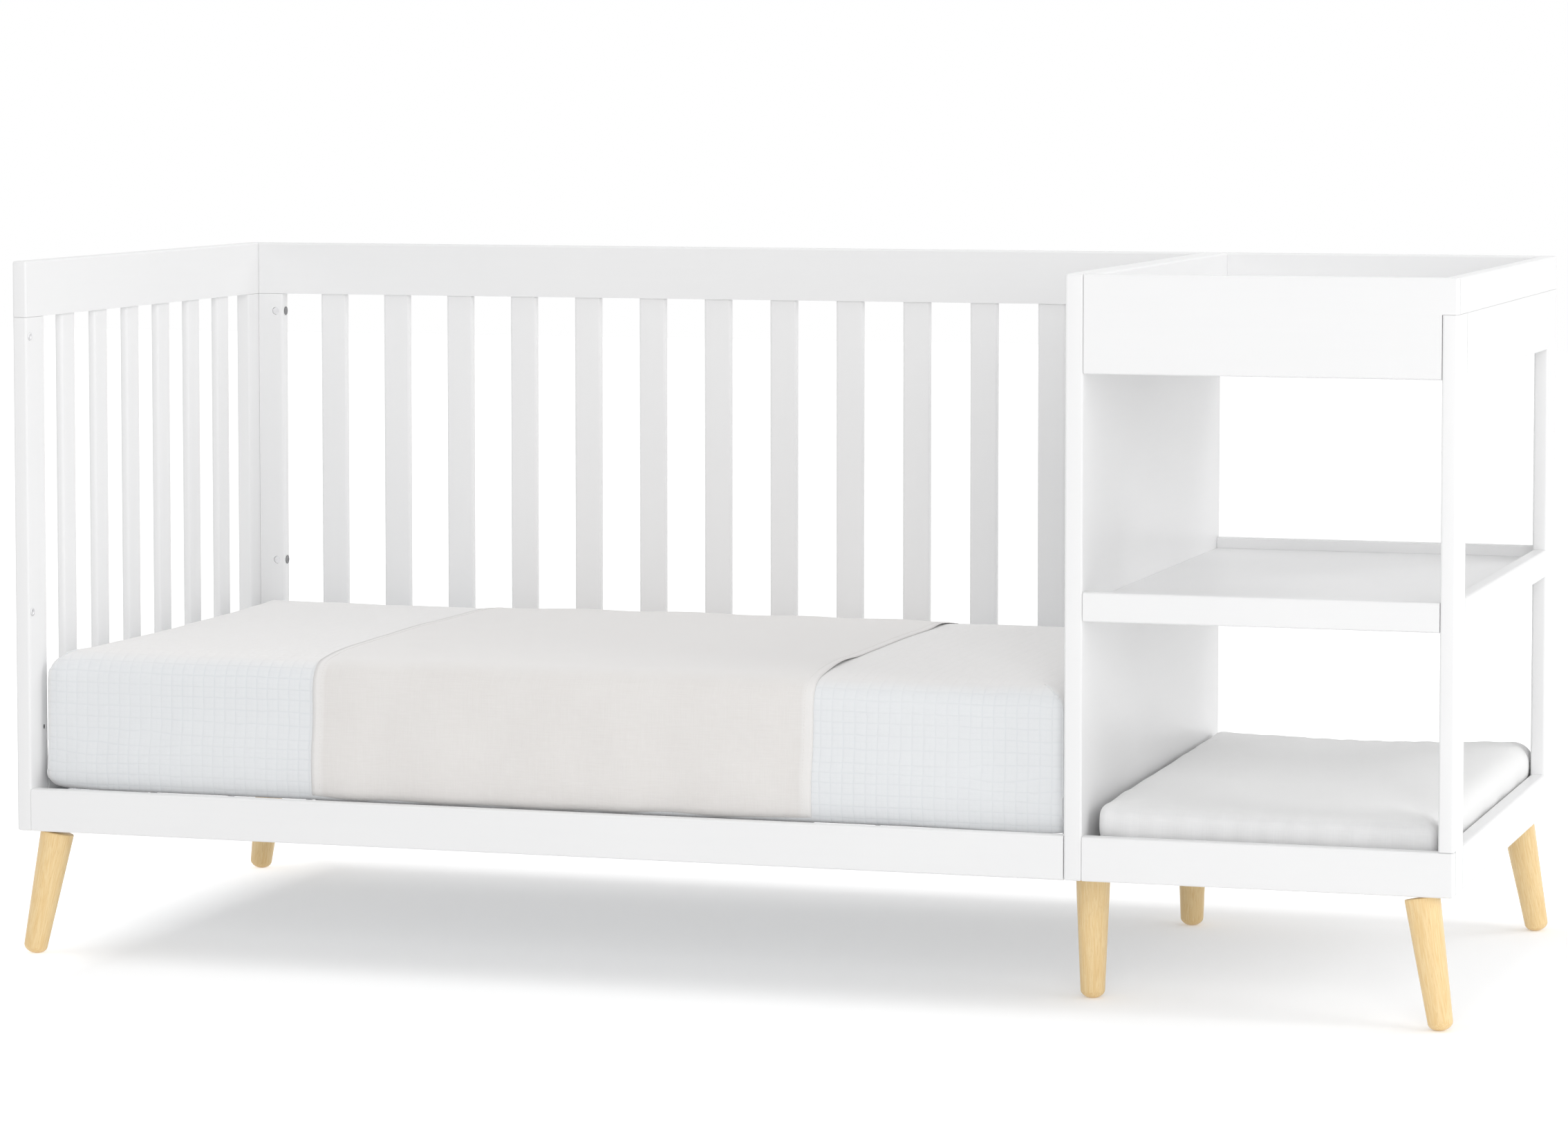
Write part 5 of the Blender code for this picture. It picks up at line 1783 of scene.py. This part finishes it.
@dataclass
class Stage:
    """The camera at the photograph's angle, a pale floor, a white backdrop and soft light."""

    camera_place: Triple = (1.87605, -6.13918, 1.1021)
    camera_turn: Pair = (0.06537, 0.2989)
    focal_pixels: float = 7352.91
    photo_width: int = 2268
    shift_y: float = -0.0985
    sensor: float = 36.0
    view_end: float = 100.0
    ambient: float = 0.548
    floor_colour: Triple = (0.90, 0.90, 0.90)
    floor_glow: float = 0.155
    floor_seen_glow: float = 0.081
    floor_far_glow: float = 0.36
    floor_half: float = 14.0
    floor_points: int = 9
    floor_drop: float = 0.0003
    glow_behind: Pair = (0.38, 0.55)
    glow_beside: Pair = (-0.78, -0.92)
    glow_far: Pair = (1.8, 3.5)
    lamp_side: float = 3.0
    lamps_face: Triple = (0.0, 0.0, 0.45)
    lamps: tuple[tuple[str, Triple, float], ...] = (
        ("front_key", (2.114, -5.809, 2.459), 98.0),
        ("side_key", (6.088, -1.073, 2.459), 83.0),
        ("left_fill", (-3.618, -2.089, 5.429), 20.0),
        ("overhead", (0.0, -0.113, 6.949), 62.0),
        ("rear_rim", (4.611, 2.662, 4.178), 49.0),
    )

    def camera(self) -> None:
        """Makes the camera: its lens is the focal length in pixels over the picture's width, times the sensor."""
        data = bpy.data.cameras.new("photo_camera")
        data.sensor_width = self.sensor
        data.sensor_fit = "HORIZONTAL"
        data.lens = self.focal_pixels / self.photo_width * self.sensor
        data.shift_y = self.shift_y
        data.clip_end = self.view_end
        camera = bpy.data.objects.new("photo_camera", data)
        camera.location = self.camera_place
        down, turn = self.camera_turn
        camera.rotation_euler = (math.pi / 2 - down, 0.0, turn)
        bpy.context.scene.collection.objects.link(camera)
        bpy.context.scene.camera = camera

    @staticmethod
    def seen_ray(bench: NodeBench) -> Socket:
        """One for rays from the camera, a gloss or a see-through surface, and zero for light rays.

        Args:
            bench: The material's or the world's bench.

        Returns:
            The socket.
        """
        path = bench.add("ShaderNodeLightPath").outputs
        seen = bench.math("MAXIMUM", path["Is Camera Ray"], path["Is Glossy Ray"])
        return bench.math("MAXIMUM", seen, path["Is Transmission Ray"])

    def world(self) -> None:
        """Makes the world: soft even light, and plain white where it is seen."""
        world = bpy.data.worlds.new("studio")
        world.use_nodes = True
        bench = NodeBench(world.node_tree)
        world.node_tree.nodes.clear()
        light, seen = (
            bench.add("ShaderNodeBackground", {"Color": WHITE, "Strength": strength}).outputs[0]
            for strength in (self.ambient, 1.0)
        )
        mix = bench.add("ShaderNodeMixShader", {0: self.seen_ray(bench), 1: light, 2: seen})
        bench.add("ShaderNodeOutputWorld", {0: mix.outputs[0]})
        bpy.context.scene.world = world

    def floor(self) -> None:
        """Lays the floor: a flat grid, dull and pale, which glows a little and so meets the backdrop.

        Its glow rises behind and beside the body, which paints the edges of the shadow under it, and some
        of it lights the furniture too: a painted fill light.
        """
        along = np.linspace(-self.floor_half, self.floor_half, self.floor_points)
        x, y = np.meshgrid(along, along)
        points = np.stack([x, y, np.full(x.shape, -self.floor_drop)], axis=-1).reshape(-1, 3)
        mesh = mesh_of("floor", points, grid_quads(*x.shape))
        if outward_of(mesh)[0, 2] < 0:
            mesh.flip_normals()
        material = bpy.data.materials.new("pale_floor")
        material.use_nodes = True
        bench = NodeBench(material.node_tree)
        material.node_tree.nodes.clear()
        # Painted shadow: the seen glow rises behind, beside and far from the body, so the shadow under it ends at
        # its footprint.
        place, glows = bench.place(), (0.0, self.floor_far_glow)
        apart = bench.add("ShaderNodeSeparateXYZ", {0: place}).outputs
        behind = bench.span(apart["Y"], self.glow_behind, glows)
        beside = bench.span(apart["X"], self.glow_beside, glows)
        far = bench.span(bench.vector("LENGTH", place), self.glow_far, glows)
        most = bench.math("MAXIMUM", far, bench.math("MAXIMUM", behind, beside))
        seen_glow = bench.math("ADD", self.floor_seen_glow, most)
        # The floor glows for light rays too: a painted fill light on the furniture.
        strength = bench.math("MULTIPLY_ADD", self.seen_ray(bench), seen_glow, self.floor_glow)
        dull = bench.add("ShaderNodeBsdfDiffuse", {"Color": self.floor_colour}).outputs[0]
        glow = bench.add("ShaderNodeEmission", {"Strength": strength}).outputs[0]
        both = bench.add("ShaderNodeAddShader", {0: dull, 1: glow}).outputs[0]
        bench.add("ShaderNodeOutputMaterial", {0: both})
        piece("floor", mesh, material)

    def light(self) -> None:
        """Hangs the square lamps, each facing the middle of the furniture."""
        for name, place, power in self.lamps:
            data = bpy.data.lights.new(name, "AREA")
            data.shape = "SQUARE"
            data.size = self.lamp_side
            data.energy = power
            lamp = bpy.data.objects.new(name, data)
            lamp.location = place
            lamp.rotation_euler = (Vector(self.lamps_face) - Vector(place)).to_track_quat("-Z", "Y").to_euler()
            bpy.context.scene.collection.objects.link(lamp)

    def build(self) -> None:
        """Sets up the camera, the world, the floor and the lamps."""
        bpy.context.scene.view_settings.view_transform = "Standard"
        self.camera()
        self.world()
        self.floor()
        self.light()


def main() -> None:
    """Builds the stage, the furniture and the bedding in order."""
    Stage().build()
    finishes = Finishes()
    PaintedBoards(finishes).build()
    HolePlugs(finishes).build()
    LegSet(finishes).build()
    mattress = Mattress(finishes)
    bed = mattress.build()
    Throw(finishes, mattress, bed).build()
    ChangingPad(finishes).build()


if __name__ == "__main__":
    main()
